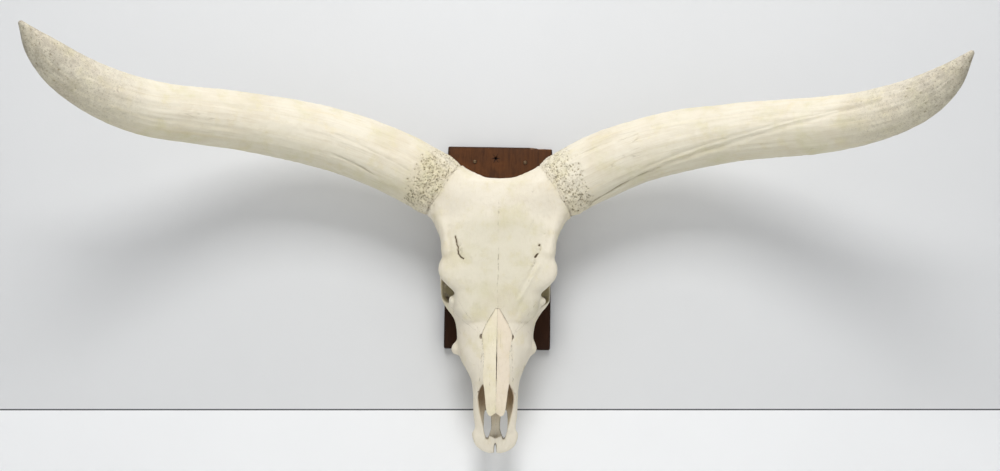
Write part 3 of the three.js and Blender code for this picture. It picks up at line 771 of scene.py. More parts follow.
def cheek_tooth(tooth, side):
    """Distance to one ribbed cheek tooth with a worn, ridged crown."""
    z0, x0, length, breadth = tooth

    def distance(p):
        dx, dz = (p[:, 0] - side * x0) / (breadth / 2), (p[:, 2] - z0) / (length / 2)
        taper = 0.9 + 0.1 * np.clip((p[:, 1] + 60) / 30, 0, 1)
        q = np.maximum((np.abs(dx) ** 3.4 + np.abs(dz) ** 3.4) ** (1 / 3.4), 1e-3)
        ribs = 0.9 * np.cos(dz * 2 * math.pi) * np.clip(np.abs(dx), 0, 1)
        flat = (q - taper) * min(length, breadth) / 2 - ribs
        lobe = np.hypot(dx * 0.9, (np.abs(dz) - 0.5) * 1.5)
        crown = REST_PLANE - 2.8 + 1.5 * np.exp(-(((lobe - 0.42) / 0.14) ** 2))
        ends = np.maximum(p[:, 1] - crown, TOOTH_ROOT - p[:, 1])
        return -blend_union(-flat, -ends, 1.6)

    low = (side * x0 - breadth / 2 - 2, TOOTH_ROOT, z0 - length / 2 - 2)
    high = (side * x0 + breadth / 2 + 2, REST_PLANE, z0 + length / 2 + 2)
    return distance, low, high


def nasal_roof(p, side, grown=0.0):
    """Distance above and below the thin arched roof of one nasal bone."""
    half, front = track(NASAL, 0, 1), track(NASAL, 0, 2)
    z = np.clip(p[:, 2], NASAL[-1][0] - 1.5, NASAL[0][0])
    out = np.clip(side * p[:, 0], 0, None)
    face = front(z) + NASAL_ARCH * (out / NASAL_WIDEST) ** 2
    thick = NASAL_THICKNESS * (1 - 0.45 * np.clip(out / half(z), 0, 1) ** 2)
    ahead = face - p[:, 1] - (NASAL_CLEARANCE if grown > 0 else 0.0)
    return np.maximum(ahead, p[:, 1] - face - thick) - grown


def nasal_edge(p, side, grown=0.0):
    """Distance outside the front outline of one nasal bone."""
    half = track(NASAL, 0, 1)
    top, bottom = NASAL[0][0], NASAL[-1][0] - 1.5
    x, z = side * p[:, 0], np.clip(p[:, 2], bottom, top)
    out = np.clip(x, 0, None)
    level, spread, width = NASAL_GAP
    inner = GAP / 2 + (0 if grown > 0 else width * np.exp(-(((z - level) / spread) ** 2)))
    tip = bottom + 7.0 * np.clip(1 - out / 9.0, 0, 1) + 9.0 * np.clip(out / half(z) - 0.62, 0, 1) ** 1.5
    return np.maximum.reduce([x - half(z), inner - x, p[:, 2] - top, tip - p[:, 2]]) - grown


class Field:
    """Distances at a set of points, built up shape by shape."""

    def __init__(self, points):
        self.points = points
        self.value = np.full(len(points), FAR)

    def _near(self, low, high, margin):
        p = self.points
        inside = np.ones(len(p), bool)
        for axis in range(3):
            inside &= (p[:, axis] > low[axis] - margin) & (p[:, axis] < high[axis] + margin)
        return np.flatnonzero(inside)

    def join(self, shape, k, margin=26.0):
        distance, low, high = shape
        near = self._near(low, high, margin)
        self.value[near] = blend_union(self.value[near], distance(self.points[near]), k)

    def cut(self, shape, k, margin=26.0):
        distance, low, high = shape
        near = self._near(low, high, margin)
        self.value[near] = -blend_union(-self.value[near], distance(self.points[near]), k)


def segment_distance(x, z, bends):
    """Distance from points of the front view to a bent line."""
    best = np.full(len(x), FAR)
    for (x0, z0), (x1, z1) in zip(bends, bends[1:]):
        dx, dz = x1 - x0, z1 - z0
        t = np.clip(((x - x0) * dx + (z - z0) * dz) / (dx * dx + dz * dz), 0, 1)
        best = np.minimum(best, np.hypot(x - x0 - t * dx, z - z0 - t * dz))
    return best


def drawn_lines(p, table, wiggle):
    """Depth of a table of lines at points on the front of the skull."""
    x, z = p[:, 0], p[:, 2]
    if wiggle:
        shift = noise(p, 3.2, 5) + 1.3 * noise(p, 9.0, 6)
        x, z = x + wiggle * shift, z + wiggle * noise(p, 3.2, 7)
    depth = np.zeros(len(p))
    for half_width, deep, sides, bends in table:
        for side in sides:
            away = segment_distance(side * x, z, bends)
            depth += deep * np.exp(-((away / half_width) ** 2))
    return depth * (p[:, 1] < -118)


def palate_slot(side):
    """Distance to the long opening beside the mid line of the muzzle."""
    x, z, half_x, half_z = PALATE_SLOT

    def distance(p):
        narrow = 1 - 0.62 * np.clip((z - 8 - p[:, 2]) / (half_z - 8), 0, 1) ** 1.5
        u, v = np.abs(side * p[:, 0] - x) / (half_x * narrow), np.abs(p[:, 2] - z) / half_z
        q = np.maximum((u**3.4 + v**3.4) ** (1 / 3.4), 1e-3)
        slope = np.hypot((u / q) ** 2.4 / half_x, (v / q) ** 2.4 / half_z)
        return (q - 1) / slope

    return distance, (side * x - half_x, -130, z - half_z), (side * x + half_x, -20, z + half_z)


def palate_hollow():
    """Room above the teeth on the skull's under side."""
    return stacked([(z, half, vault, back + 40, back) for z, half, vault, _, back in PALATE], (2.6, 2.6))


def leaned(p):
    """Points moved so that a mirrored shape read there leans like the face."""
    moved = p.copy()
    shift = np.zeros(len(p))
    for side, rows in FACE_LEAN.items():
        amount = np.interp(p[:, 2], [row[0] for row in rows], [row[1] for row in rows], right=0.0)
        shift += amount * np.clip((side * p[:, 0] - LEAN_START) / LEAN_BLEND, 0, 1)
    moved[:, 0] += shift
    return moved


def bone_relief(p, relief, seam_depth):
    """Depth of bumps, seams, slits, hollows and the swelling round the horns near the bone's surface."""
    bumps = relief * (noise(p, 34.0, 1) + 0.5 * noise(p, 13.0, 2)) + 0.22 * noise(p, 5.5, 3)
    bumps *= np.clip((REST_PLANE - 1.5 - p[:, 1]) / 6, 0, 1)
    drawn = seam_depth * drawn_lines(p, SEAMS, 1.0) + drawn_lines(p, BROW_SLITS, 0.8)
    bumps += drawn + drawn_lines(p, RIDGES, 0)
    bumps -= drawn_lines(p, BROW_BEADS, 0.8) * np.clip(0.5 + 1.3 * noise(p, 4.2, 8), 0, 1.6)
    for depth, x, z, half_x, half_z in DENTS:
        soft = np.exp(-(((np.abs(p[:, 0]) - x) / half_x) ** 2) - ((p[:, 2] - z) / half_z) ** 2)
        bumps += depth * soft * (p[:, 1] < MUZZLE_FRONT)
    seat = np.minimum(*(horn_seat(name, side)[0](p) for name, side in SIDES))
    bumps -= 1.3 * np.exp(-np.clip(seat, 0, None) / 8) * (seat < 40)
    slit = np.exp(-((p[:, 0] / 1.1) ** 2)) * np.clip((-404 - p[:, 2]) / 6, 0, 1)
    bumps += 1.3 * slit * (p[:, 1] < MUZZLE_FRONT)
    return bumps


def skull_field(given, relief, seam_depth):
    """Distance to the whole skull before it is parted."""
    p = leaned(given)
    f = Field(p)
    f.join(stacked(FOREHEAD, FOREHEAD_POWER), 0)
    f.join(stacked(FACE, FACE_POWER), 9)
    f.join(stacked(BRAINCASE, BRAINCASE_POWER), 8)
    f.join(nape_plate(), 9)
    f.join(bar(SKULL_BASE, 1, 6), 6)
    for side in (-1, 1):
        for rows, steps, rounding in FIRST_BARS:
            f.join(bar(sided(rows, side), side, steps), rounding)
        f.join(egg("tuber", side), 10)
    for side in (-1, 1):
        f.cut(egg("orbit", side), 4)
        f.cut(palate_slot(side), 2.5)
        f.cut(egg("snout_hole", side), 2.5)
        f.cut(egg("gap", side), 1.5)
    f.cut(egg("foramen"), 4)
    f.cut(egg("notch"), 1.5)
    f.cut(stacked(CAVITY, (CAVITY_POWER, CAVITY_POWER)), 2.5)
    f.cut(palate_hollow(), 4)
    for side in (-1, 1):
        for rows, steps, rounding in LAST_BARS:
            f.join(bar(sided(rows, side), side, steps), rounding)
        for name, rounding in LAST_EGGS:
            f.join(egg(name, side), rounding)
        for tooth in CHEEK_TEETH:
            f.join(cheek_tooth(tooth, side), 0.8)
        f.cut(egg("ear", side), 3)
    near = np.flatnonzero(np.abs(f.value) < 10)
    f.value[near] += bone_relief(p[near], relief, seam_depth)
    return f.value


def parting_levels(p):
    """Distances above the parting of forehead and face, and above that of the muzzle."""
    x, y, z = p.T
    wave = 1.1 * np.sin(x / 3.1 + np.sin(y / 4.3)) * np.sin(y / 2.9)
    z0, y0, x0, per_y, per_x = FACE_PARTING
    face = z + wave - (z0 + per_y * (y - y0) + per_x * (np.abs(x) - x0))
    m0, my, m_per = MUZZLE_PARTING
    muzzle = z + 0.7 * wave - (m0 + m_per * (y - my))
    return face / math.sqrt(1 + per_y**2 + per_x**2), muzzle / math.hypot(1, m_per)


def arch_room(p, side):
    """Distance to the room of one cheek arch."""
    top, front, clear = ARCH_PARTING
    room = np.full(len(p), FAR)
    for stations, steps in ((CHEEK_ARCH[side], 14), (ORBIT_BAR[side], 6)):
        distance, low, high = bar(stations, side, steps, clear)
        near = np.flatnonzero(((p > np.array(low) - 20) & (p < np.array(high) + 20)).all(axis=1))
        room[near] = np.minimum(room[near], distance(p[near]))
    return np.maximum.reduce([room, p[:, 2] - top, front - p[:, 1]])


def part_of(name):
    """Distance function that is negative where one piece of the skull lies."""
    half = SEAM_GAP / 2
    kind, _, side_name = name.rpartition("_")
    side = dict(SIDES).get(side_name, 0)
    behind = -1 if name == "braincase" else 1

    def distance(p):
        face, muzzle = parting_levels(p)
        inward = half - side * p[:, 0]
        if kind == "maxilla":
            limits = [face + half, half - muzzle, inward]
        elif kind == "incisive":
            limits = [face + half, muzzle + half, inward]
        elif kind == "cheek_arch":
            limits = [half - face, arch_room(p, side) + half, inward]
        else:
            wave = 0.8 * np.sin(p[:, 2] / 2.7 + np.sin(p[:, 2] / 6.1)) * np.sin(p[:, 0] / 3.4)
            crown = p[:, 1] - CROWN_PARTING + wave
            limits = [half - face, behind * crown + half]
            for other, sign in SIDES:
                limits.append(half - arch_room(p, sign))
                limits.append(-horn_seat(other, sign)[0](p))
        for _, sign in SIDES:
            limits.append(-np.maximum(nasal_roof(p, sign, SEAM_GAP), nasal_edge(p, sign, SEAM_GAP)))
        return np.maximum.reduce(limits)

    return distance


# ---------------------------------------------------------------- surfaces


def coarse_to_fine(field, low, high, step, jump=4, band=9.0):
    """Distances on a fine lattice, worked out only near the surface."""
    low, high = np.array(low, float), np.array(high, float)
    blocks = np.ceil((high - low) / (step * jump)).astype(int) + 1
    axes = [low[a] + step * jump * np.arange(blocks[a]) for a in range(3)]
    lattice = np.stack(np.meshgrid(*axes, indexing="ij"), -1)
    rough = field(lattice.reshape(-1, 3)).reshape(blocks)
    near = np.abs(rough) < band
    active = np.zeros_like(near)
    for shift in np.ndindex(3, 3, 3):
        moved = np.roll(near, np.array(shift) - 1, (0, 1, 2))
        active |= moved
    fine = np.repeat(np.repeat(np.repeat(rough, jump, 0), jump, 1), jump, 2)
    mask = np.repeat(np.repeat(np.repeat(active, jump, 0), jump, 1), jump, 2)
    index = np.argwhere(mask)
    fine[mask] = field(low + index * step)
    return fine, low


def net_surface(values, low, step):
    """Closed quad surface where the lattice distances change sign."""
    inside = values < 0
    count = np.zeros(np.array(values.shape) - 1, np.int8)
    corners = [np.array(c) for c in np.ndindex(2, 2, 2)]
    for c in corners:
        count += inside[tuple(slice(start, start + size) for start, size in zip(c, count.shape))]
    cells = np.argwhere((count > 0) & (count < 8))
    number = np.full(count.shape, -1, np.int64)
    number[tuple(cells.T)] = np.arange(len(cells))
    place, crossings = np.zeros((len(cells), 3)), np.zeros(len(cells))
    for a in corners:
        for axis in range(3):
            if a[axis]:
                continue
            b = a.copy()
            b[axis] = 1
            va, vb = values[tuple((cells + a).T)], values[tuple((cells + b).T)]
            crossed = (va < 0) != (vb < 0)
            t = np.where(crossed, va / np.where(crossed, va - vb, 1), 0)
            place += crossed[:, None] * (a + t[:, None] * (b - a))
            crossings += crossed
    place = low + (cells + place / crossings[:, None]) * step
    faces = []
    for axis in range(3):
        first = [slice(None)] * 3
        second = [slice(None)] * 3
        first[axis], second[axis] = slice(None, -1), slice(1, None)
        before, after = inside[tuple(first)], inside[tuple(second)]
        edges = np.argwhere(before != after)
        others = [a for a in range(3) if a != axis]
        limits = np.array(count.shape)
        keep = np.ones(len(edges), bool)
        for other in others:
            keep &= (edges[:, other] > 0) & (edges[:, other] < limits[other])
        edges = edges[keep]
        ring = []
        for du, dv in ((1, 1), (0, 1), (0, 0), (1, 0)):
            cell = edges.copy()
            cell[:, others[0]] -= du
            cell[:, others[1]] -= dv
            ring.append(number[tuple(cell.T)])
        quad = np.stack(ring, 1)
        outward = before[tuple(edges.T)]
        if axis == 1:
            outward = ~outward
        quad[~outward] = quad[~outward][:, ::-1]
        faces.append(quad)
    return place, np.vstack(faces)


def gradient(function, p, reach=0.15):
    """Slope of a distance function, from differences."""
    slope = np.empty_like(p)
    for axis in range(3):
        shift = np.zeros(3)
        shift[axis] = reach
        slope[:, axis] = (function(p + shift) - function(p - shift)) / (2 * reach)
    return slope


def sharpen(place, first, second, step):
    """Moves points that lie near two surfaces onto the line where these meet."""
    a, b = first(place), second(place)
    near = np.flatnonzero((np.abs(a) < step) & (np.abs(b) < step))
    for _ in range(2):
        p = place[near]
        a, b = first(p), second(p)
        ga, gb = gradient(first, p), gradient(second, p)
        aa, bb, ab = (ga * ga).sum(1), (gb * gb).sum(1), (ga * gb).sum(1)
        determinant = aa * bb - ab * ab
        good = determinant > 0.1 * aa * bb
        determinant = np.where(good, determinant, 1)
        u, v = (-a * bb + b * ab) / determinant, (-b * aa + a * ab) / determinant
        move = ga * u[:, None] + gb * v[:, None]
        length = np.linalg.norm(move, axis=1)
        move *= (np.minimum(1, 0.9 * step / np.maximum(length, 1e-6)) * good)[:, None]
        place[near] = p + move
    return place


def largest_island(place, faces):
    """Keeps only the biggest connected surface."""
    parent = np.arange(len(place))
    while True:
        lowest = parent[faces].min(axis=1)
        fresh = parent.copy()
        for k in range(faces.shape[1]):
            np.minimum.at(fresh, faces[:, k], lowest)
        fresh = np.minimum(fresh, fresh[fresh])
        if (fresh == parent).all():
            break
        parent = fresh
    names, sizes = np.unique(parent, return_counts=True)
    keep = parent == names[sizes.argmax()]
    renumber = np.cumsum(keep) - 1
    faces = faces[keep[faces].all(axis=1)]
    return place[keep], renumber[faces]


def mesh_object(name, place, faces, attributes=None):
    """Smooth mesh object at the origin, from millimetre points."""
    mesh = bpy.data.meshes.new(name)
    mesh.vertices.add(len(place))
    mesh.vertices.foreach_set("co", (np.asarray(place) * MM).astype(np.float32).ravel())
    faces = np.asarray(faces)
    sides = faces.shape[1]
    mesh.loops.add(faces.size)
    mesh.loops.foreach_set("vertex_index", faces.astype(np.int32).ravel())
    mesh.polygons.add(len(faces))
    mesh.polygons.foreach_set("loop_start", np.arange(0, faces.size, sides, dtype=np.int32))
    mesh.update(calc_edges=True)
    mesh.polygons.foreach_set("use_smooth", np.ones(len(faces), bool))
    mesh.set_sharp_from_angle(angle=SHARP)
    for key, values in (attributes or {}).items():
        values = np.asarray(values, np.float32)
        kind = "FLOAT_VECTOR" if values.ndim == 2 else "FLOAT"
        layer = mesh.attributes.new(key, kind, "POINT")
        layer.data.foreach_set("vector" if values.ndim == 2 else "value", values.ravel())
    if mesh.validate():
        raise RuntimeError(f"{name} has faults in its mesh")
    obj = bpy.data.objects.new(name, mesh)
    bpy.context.scene.collection.objects.link(obj)
    return obj


def vertex_normals(place, faces):
    """Unit normals of a quad surface."""
    a, b, c, d = (place[faces[:, k]] for k in range(4))
    across = np.cross(c - a, d - b)
    normal = np.zeros_like(place)
    for k in range(4):
        np.add.at(normal, faces[:, k], across)
    return normal / np.maximum(np.linalg.norm(normal, axis=1), 1e-9)[:, None]


def finish_piece(obj, material, slot, *nodes):
    """Dresses a piece and hands it to the frame."""
    obj.data.materials.clear()
    obj.data.materials.append(material)
    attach(obj, "root")
    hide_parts(*nodes)


# ---------------------------------------------------------------- node short hand


class Nodes:
    """Short hand for adding nodes to a tree."""

    def __init__(self, tree):
        self.tree = tree

    def node(self, kind, inputs=None, **settings):
        node = self.tree.nodes.new(kind)
        for key, value in settings.items():
            setattr(node, key, value)
        for key, value in (inputs or {}).items():
            self.feed(node.inputs[key], value)
        return node

    def feed(self, socket, value):
        if isinstance(value, bpy.types.NodeSocket):
            self.tree.links.new(value, socket)
        else:
            socket.default_value = value

    def math(self, operation, a, b=0.0):
        return self.node("ShaderNodeMath", {0: a, 1: b}, operation=operation).outputs[0]

    def scale(self, vector, amount):
        return self.node("ShaderNodeVectorMath", {0: vector, "Scale": amount}, operation="SCALE").outputs[0]

    def range(self, value, low, high, to_low=0.0, to_high=1.0):
        inputs = {"Value": value, "From Min": low, "From Max": high, "To Min": to_low, "To Max": to_high}
        return self.node("ShaderNodeMapRange", inputs, interpolation_type="SMOOTHSTEP").outputs["Result"]


class Look(Nodes):
    """Short hand for building a material."""

    def __init__(self, name):
        self.material = bpy.data.materials.new(name)
        self.material.use_nodes = True
        super().__init__(self.material.node_tree)
        self.tree.nodes.clear()
        self.output = self.node("ShaderNodeOutputMaterial")
        self.shader = self.node("ShaderNodeBsdfPrincipled")
        self.feed(self.output.inputs["Surface"], self.shader.outputs[0])
        self.place = self.node("ShaderNodeTexCoord").outputs["Object"]

    def noise(self, scale, detail=4.0, roughness=0.6, vector=None, distortion=0.0, output="Fac"):
        inputs = {"Scale": scale, "Detail": detail, "Roughness": roughness, "Distortion": distortion}
        inputs["Vector"] = vector or self.place
        return self.node("ShaderNodeTexNoise", inputs).outputs[output]

    def cells(self, scale, feature="F1", vector=None):
        inputs = {"Scale": scale, "Vector": vector or self.place}
        return self.node("ShaderNodeTexVoronoi", inputs, feature=feature).outputs["Distance"]

    def attribute(self, name, output="Fac"):
        return self.node("ShaderNodeAttribute", attribute_name=name).outputs[output]

    def stretch(self, vector, scale):
        return self.node("ShaderNodeMapping", {"Vector": vector, "Scale": scale}).outputs["Vector"]

    def mix(self, factor, a, b, blend="MIX"):
        a, b = ((*c, 1.0) if isinstance(c, tuple) else c for c in (a, b))
        node = self.node("ShaderNodeMix", data_type="RGBA", blend_type=blend)
        for socket, value in ((0, factor), (6, a), (7, b)):
            self.feed(node.inputs[socket], value)
        return node.outputs[2]

    def bump(self, height, distance, strength=1.0, normal=None):
        inputs = {"Height": height, "Distance": distance, "Strength": strength}
        if normal is not None:
            inputs["Normal"] = normal
        return self.node("ShaderNodeBump", inputs).outputs["Normal"]

    def dress(self, **inputs):
        """Feeds shader sockets given by their names, with _ for a space."""
        for name, value in inputs.items():
            self.feed(self.shader.inputs[name.replace("_", " ")], value)
        return self.material


class Shape(Nodes):
    """Short hand for building a geometry tree with named inputs."""

    def __init__(self, name, inputs):
        super().__init__(bpy.data.node_groups.new(name, "GeometryNodeTree"))
        sockets = self.tree.interface
        sockets.new_socket("Geometry", in_out="INPUT", socket_type="NodeSocketGeometry")
        for label, kind in inputs.items():
            sockets.new_socket(label, in_out="INPUT", socket_type=kind)
        sockets.new_socket("Geometry", in_out="OUTPUT", socket_type="NodeSocketGeometry")
        self.given = self.node("NodeGroupInput")

    def attribute(self, name):
        kind = "GeometryNodeInputNamedAttribute"
        return self.node(kind, {"Name": name}, data_type="FLOAT").outputs["Attribute"]

    def finish(self, geometry):
        """Ends the tree with real geometry in its material."""
        real = self.node("GeometryNodeRealizeInstances", {"Geometry": geometry}).outputs["Geometry"]
        paint = {"Geometry": real, "Material": self.given.outputs["Material"]}
        done = self.node("GeometryNodeSetMaterial", paint).outputs["Geometry"]
        self.node("NodeGroupOutput", {"Geometry": done})
        return self.tree


# ---------------------------------------------------------------- materials


def tinted(colour, share):
    """Colour with each channel taken at its share."""
    return tuple(c * s for c, s in zip(colour, share))


def clouded(look, cloud, patch, base, aged):
    """Bleached bone with broad clouds of aged, warm and greenish bone."""
    colour = look.mix(look.range(cloud, 0.42, 0.74, 0.0, 0.42), tuple(base), tuple(aged))
    colour = look.mix(look.range(patch, 0.5, 0.78, 0.0, 0.5), colour, tinted(base, WARM_SHARE))
    green = look.range(look.noise(17.0, 6.0, 0.6), 0.46, 0.74, 0.0, 0.6)
    return look.mix(green, colour, tinted(base, GREEN_SHARE))


def horn_streaks(look, colour, fibre, base, aged, tip):
    """Streaks along a horn core and the mottled, specked bone of its tip."""
    lines = look.noise(1.0, 5.0, 0.7, look.stretch(fibre, (420.0, 420.0, 10.0)))
    broad = look.noise(1.0, 3.0, 0.6, look.stretch(fibre, (80.0, 80.0, 5.0)))
    colour = look.mix(look.range(lines, 0.5, 0.72, 0.0, 0.42), colour, tuple(aged))
    colour = look.mix(look.range(broad, 0.5, 0.78, 0.0, 0.36), colour, tinted(base, WARM_SHARE))
    ends = look.attribute("tip")
    mottled = look.range(look.noise(60.0, 6.0, 0.7), 0.36, 0.64, 0.25, 0.9)
    colour = look.mix(look.math("MULTIPLY", ends, mottled), colour, tuple(tip))
    for scale, amount in ((210.0, 0.6), (430.0, 0.75)):
        specks = look.range(look.noise(scale, 3.0, 0.7), 0.55, 0.66, 0.0, amount)
        colour = look.mix(look.math("MULTIPLY", ends, specks), colour, SPECK)
    return colour, lines


def bone_streaks(look, colour, aged, tooth):
    """Fine streaks of flat bone and the ribbed cement of the teeth."""
    lines = look.noise(1.0, 5.0, 0.7, look.stretch(look.place, (300.0, 300.0, 60.0)))
    colour = look.mix(look.range(lines, 0.52, 0.76, 0.0, 0.22), colour, tuple(aged))
    colour = look.mix(look.attribute("tooth"), colour, tuple(tooth))
    ribs = look.noise(1.0, 3.0, 0.6, look.stretch(look.place, (420.0, 60.0, 420.0)))
    dark = look.math("MULTIPLY", look.attribute("tooth"), look.range(ribs, 0.48, 0.66, 0.0, 0.8))
    return look.mix(dark, colour, TOOTH_LINE), lines


def shaded_and_stained(look, colour, patch, aged, darkest_shade):
    """Painted shade and stain in the hollows, painted shade in the orbits and the nose, and dark seams."""
    # Hollows are darkened towards a dimmed aged bone and then towards the deepest colour: painted shade, with
    # some stain.
    recess_shade = look.math("MULTIPLY", look.attribute("hollow"), look.range(patch, 0.2, 0.7, 0.75, 1.0))
    colour = look.mix(look.range(recess_shade, 0.12, 0.5, 0.0, 0.55), colour, tuple(c * 0.62 for c in aged))
    # The orbits' walls are painted in shade.
    colour = look.mix(look.attribute("socket"), colour, ORBIT_SHADE)
    # The nose's inner walls are painted in shade, darker higher up inside.
    inner = look.math("MULTIPLY", look.attribute("inner"), look.range(patch, 0.25, 0.7, 0.8, 1.0))
    level = look.node("ShaderNodeSeparateXYZ", {"Vector": look.place}).outputs["Z"]
    nose = look.mix(look.range(level, *NOSE_LEVELS, 1.0, 0.0), NOSE_SHADE, NOSE_LIT)
    colour = look.mix(inner, colour, nose)
    colour = look.mix(look.range(recess_shade, 0.45, 0.95, 0.0, 0.92), colour, darkest_shade)
    broken = look.range(look.noise(70.0, 3.0, 0.6), 0.4, 0.6, 0.25, 1.0)
    seam = look.math("MULTIPLY", look.attribute("seam"), broken)
    return look.mix(look.range(seam, 0.1, 0.9, 0.0, 0.6), colour, SEAM_LINE)


def small_pits(look):
    """Mask of the smallest pits, as ragged cells of mixed sizes."""
    bent = look.node("ShaderNodeVectorMath", {0: look.place}, operation="ADD")
    swirl = look.noise(160.0, 2.0, 0.5, output="Color")
    look.feed(bent.inputs[1], look.scale(swirl, 0.006))
    size = look.range(look.noise(90.0, 3.0, 0.6), 0.3, 0.7, 0.16, 0.5)
    deep = look.math("SUBTRACT", size, look.cells(300.0, vector=bent.outputs[0]))
    return look.math("MULTIPLY", look.range(deep, 0.0, 0.16, 0.0, 1.0), look.attribute("pitted"))


def bone_look(name, settings, base, aged, streaked=False, tip=None):
    """Dry bleached bone with painted shade and stain in its hollows, painted shade in its orbits and nose, on
    the middle of the forehead and under the horn cores, and pores, pits and hair cracks.
    """
    look = Look(name)
    fibre = look.attribute("fibre", "Vector") if streaked else look.place
    cloud, patch = look.noise(9.0, 5.0, 0.62), look.noise(34.0, 5.0, 0.65)
    colour = clouded(look, cloud, patch, base, aged)
    if streaked:
        colour, lines = horn_streaks(look, colour, fibre, base, aged, tip)
    else:
        colour, lines = bone_streaks(look, colour, aged, settings.tooth)
    # The deepest colour of the painted shade in the hollows.
    colour = shaded_and_stained(look, colour, patch, aged, HORN_PIT_FLOOR_SHADE if streaked else tuple(settings.hollow))
    grain = (1.4, 1.4, 0.12) if streaked else (1.0, 1.0, 0.3)
    veins = look.cells(58.0, "DISTANCE_TO_EDGE", look.stretch(fibre, grain))
    cracked = look.range(look.noise(14.0, 3.0, 0.6), 0.56, 0.68, 0.0, 1.0)
    crack = look.math("MULTIPLY", look.range(veins, 0.0, 0.02, 1.0, 0.0), cracked)
    colour = look.mix(look.math("MULTIPLY", crack, 0.3 if streaked else 0.12), colour, CRACK)
    porous = look.range(patch, 0.44, 0.62, 0.1, 1.0)
    pore = look.math("MULTIPLY", look.range(look.cells(700.0), 0.05, 0.3, 1.0, 0.0), porous)
    colour = look.mix(look.math("MULTIPLY", pore, 0.34), colour, PORE)
    pit = small_pits(look)
    colour = look.mix(look.math("MULTIPLY", pit, 0.17), colour, PIT_SHADE)
    yellow = look.math("MULTIPLY", look.attribute("pitted"), look.range(cloud, 0.35, 0.6, 0.0, 0.17))
    colour = look.mix(yellow, colour, YELLOWED, "MULTIPLY")
    # Painted shade on the middle of the forehead and on the horn cores' undersides.
    colour = look.mix(look.attribute("dull"), colour, PAINTED_SHADE_TINT, "MULTIPLY")
    normal = look.bump(look.noise(170.0, 7.0, 0.68), 0.0011, 0.8)
    normal = look.bump(lines, 0.0009, 0.7, normal)
    for mark, deep, strength in ((crack, 0.0005, 0.6), (pore, 0.0005, 0.7), (pit, 0.0016, 1.0)):
        normal = look.bump(look.math("SUBTRACT", 1.0, mark), deep, strength, normal)
    rough = look.range(look.noise(60.0, 4.0, 0.6), 0.3, 0.7, 0.52, 0.78)
    return look.dress(Base_Color=colour, Roughness=rough, Specular_IOR_Level=0.35, Normal=normal)


def wood_look(settings):
    """Dark stained board with fine grain, worn edges, a cracked nail hole and painted shadow low down."""
    look = Look("stained_wood")
    grain = look.noise(1.0, 6.0, 0.72, look.stretch(look.place, (120.0, 60.0, 16.0)), 0.9)
    fine = look.noise(1.0, 4.0, 0.7, look.stretch(look.place, (900.0, 400.0, 34.0)))
    cloud = look.noise(20.0, 4.0, 0.6)
    dark = tuple(settings.dark)
    colour = look.mix(look.range(grain, 0.42, 0.72, 0.0, 0.6), tuple(settings.wood), dark)
    colour = look.mix(look.range(cloud, 0.46, 0.75, 0.0, 0.6), colour, tuple(c * 1.6 for c in settings.wood))
    colour = look.mix(look.range(fine, 0.52, 0.72, 0.0, 0.5), colour, dark)
    # Painted shadow: the lower board is darker where the skull shades it.
    colour = look.mix(look.attribute("shade"), colour, dark)
    colour = look.mix(look.range(look.attribute("edge"), 0.2, 1.0, 0.0, 0.75), colour, dark)
    colour = look.mix(look.attribute("worn"), colour, WORN_WOOD)
    colour = look.mix(look.attribute("knot"), colour, KNOT)
    rough = look.range(cloud, 0.3, 0.7, 0.5, 0.7)
    normal = look.bump(fine, 0.0004, 0.6, look.bump(grain, 0.0008, 0.5))
    return look.dress(Base_Color=colour, Roughness=rough, Specular_IOR_Level=0.1, Normal=normal)


def steel_look():
    """Dull steel with a little rust."""
    look = Look("dull_steel")
    rust = look.range(look.noise(500.0, 4.0, 0.7), 0.5, 0.7)
    metal, rough = (look.range(rust, 0.0, 1.0, *ends) for ends in ((0.8, 0.2), (0.42, 0.8)))
    colour, normal = look.mix(rust, STEEL, RUST), look.bump(look.noise(900.0), 0.0002, 0.6)
    return look.dress(Base_Color=colour, Metallic=metal, Roughness=rough, Normal=normal)


# ---------------------------------------------------------------- node trees


def socket_id(tree, name):
    """Identifier of a tree's named input."""
    sockets = (item for item in tree.interface.items_tree if item.in_out == "INPUT")
    return next(item.identifier for item in sockets if item.name == name)


def apply_nodes(obj, tree, values):
    """Runs a node tree on an object and keeps the plain mesh that it makes."""
    modifier = obj.modifiers.new(tree.name, "NODES")
    modifier.node_group = tree
    for name, value in values.items():
        modifier[socket_id(tree, name)] = value
    evaluated = obj.evaluated_get(bpy.context.evaluated_depsgraph_get())
    made = bpy.data.meshes.new_from_object(evaluated)
    obj.modifiers.remove(modifier)
    old = obj.data
    obj.data = made
    made.name = old.name
    bpy.data.meshes.remove(old)
    if not made.polygons:
        raise RuntimeError(f"{tree.name} made no faces on {obj.name}")


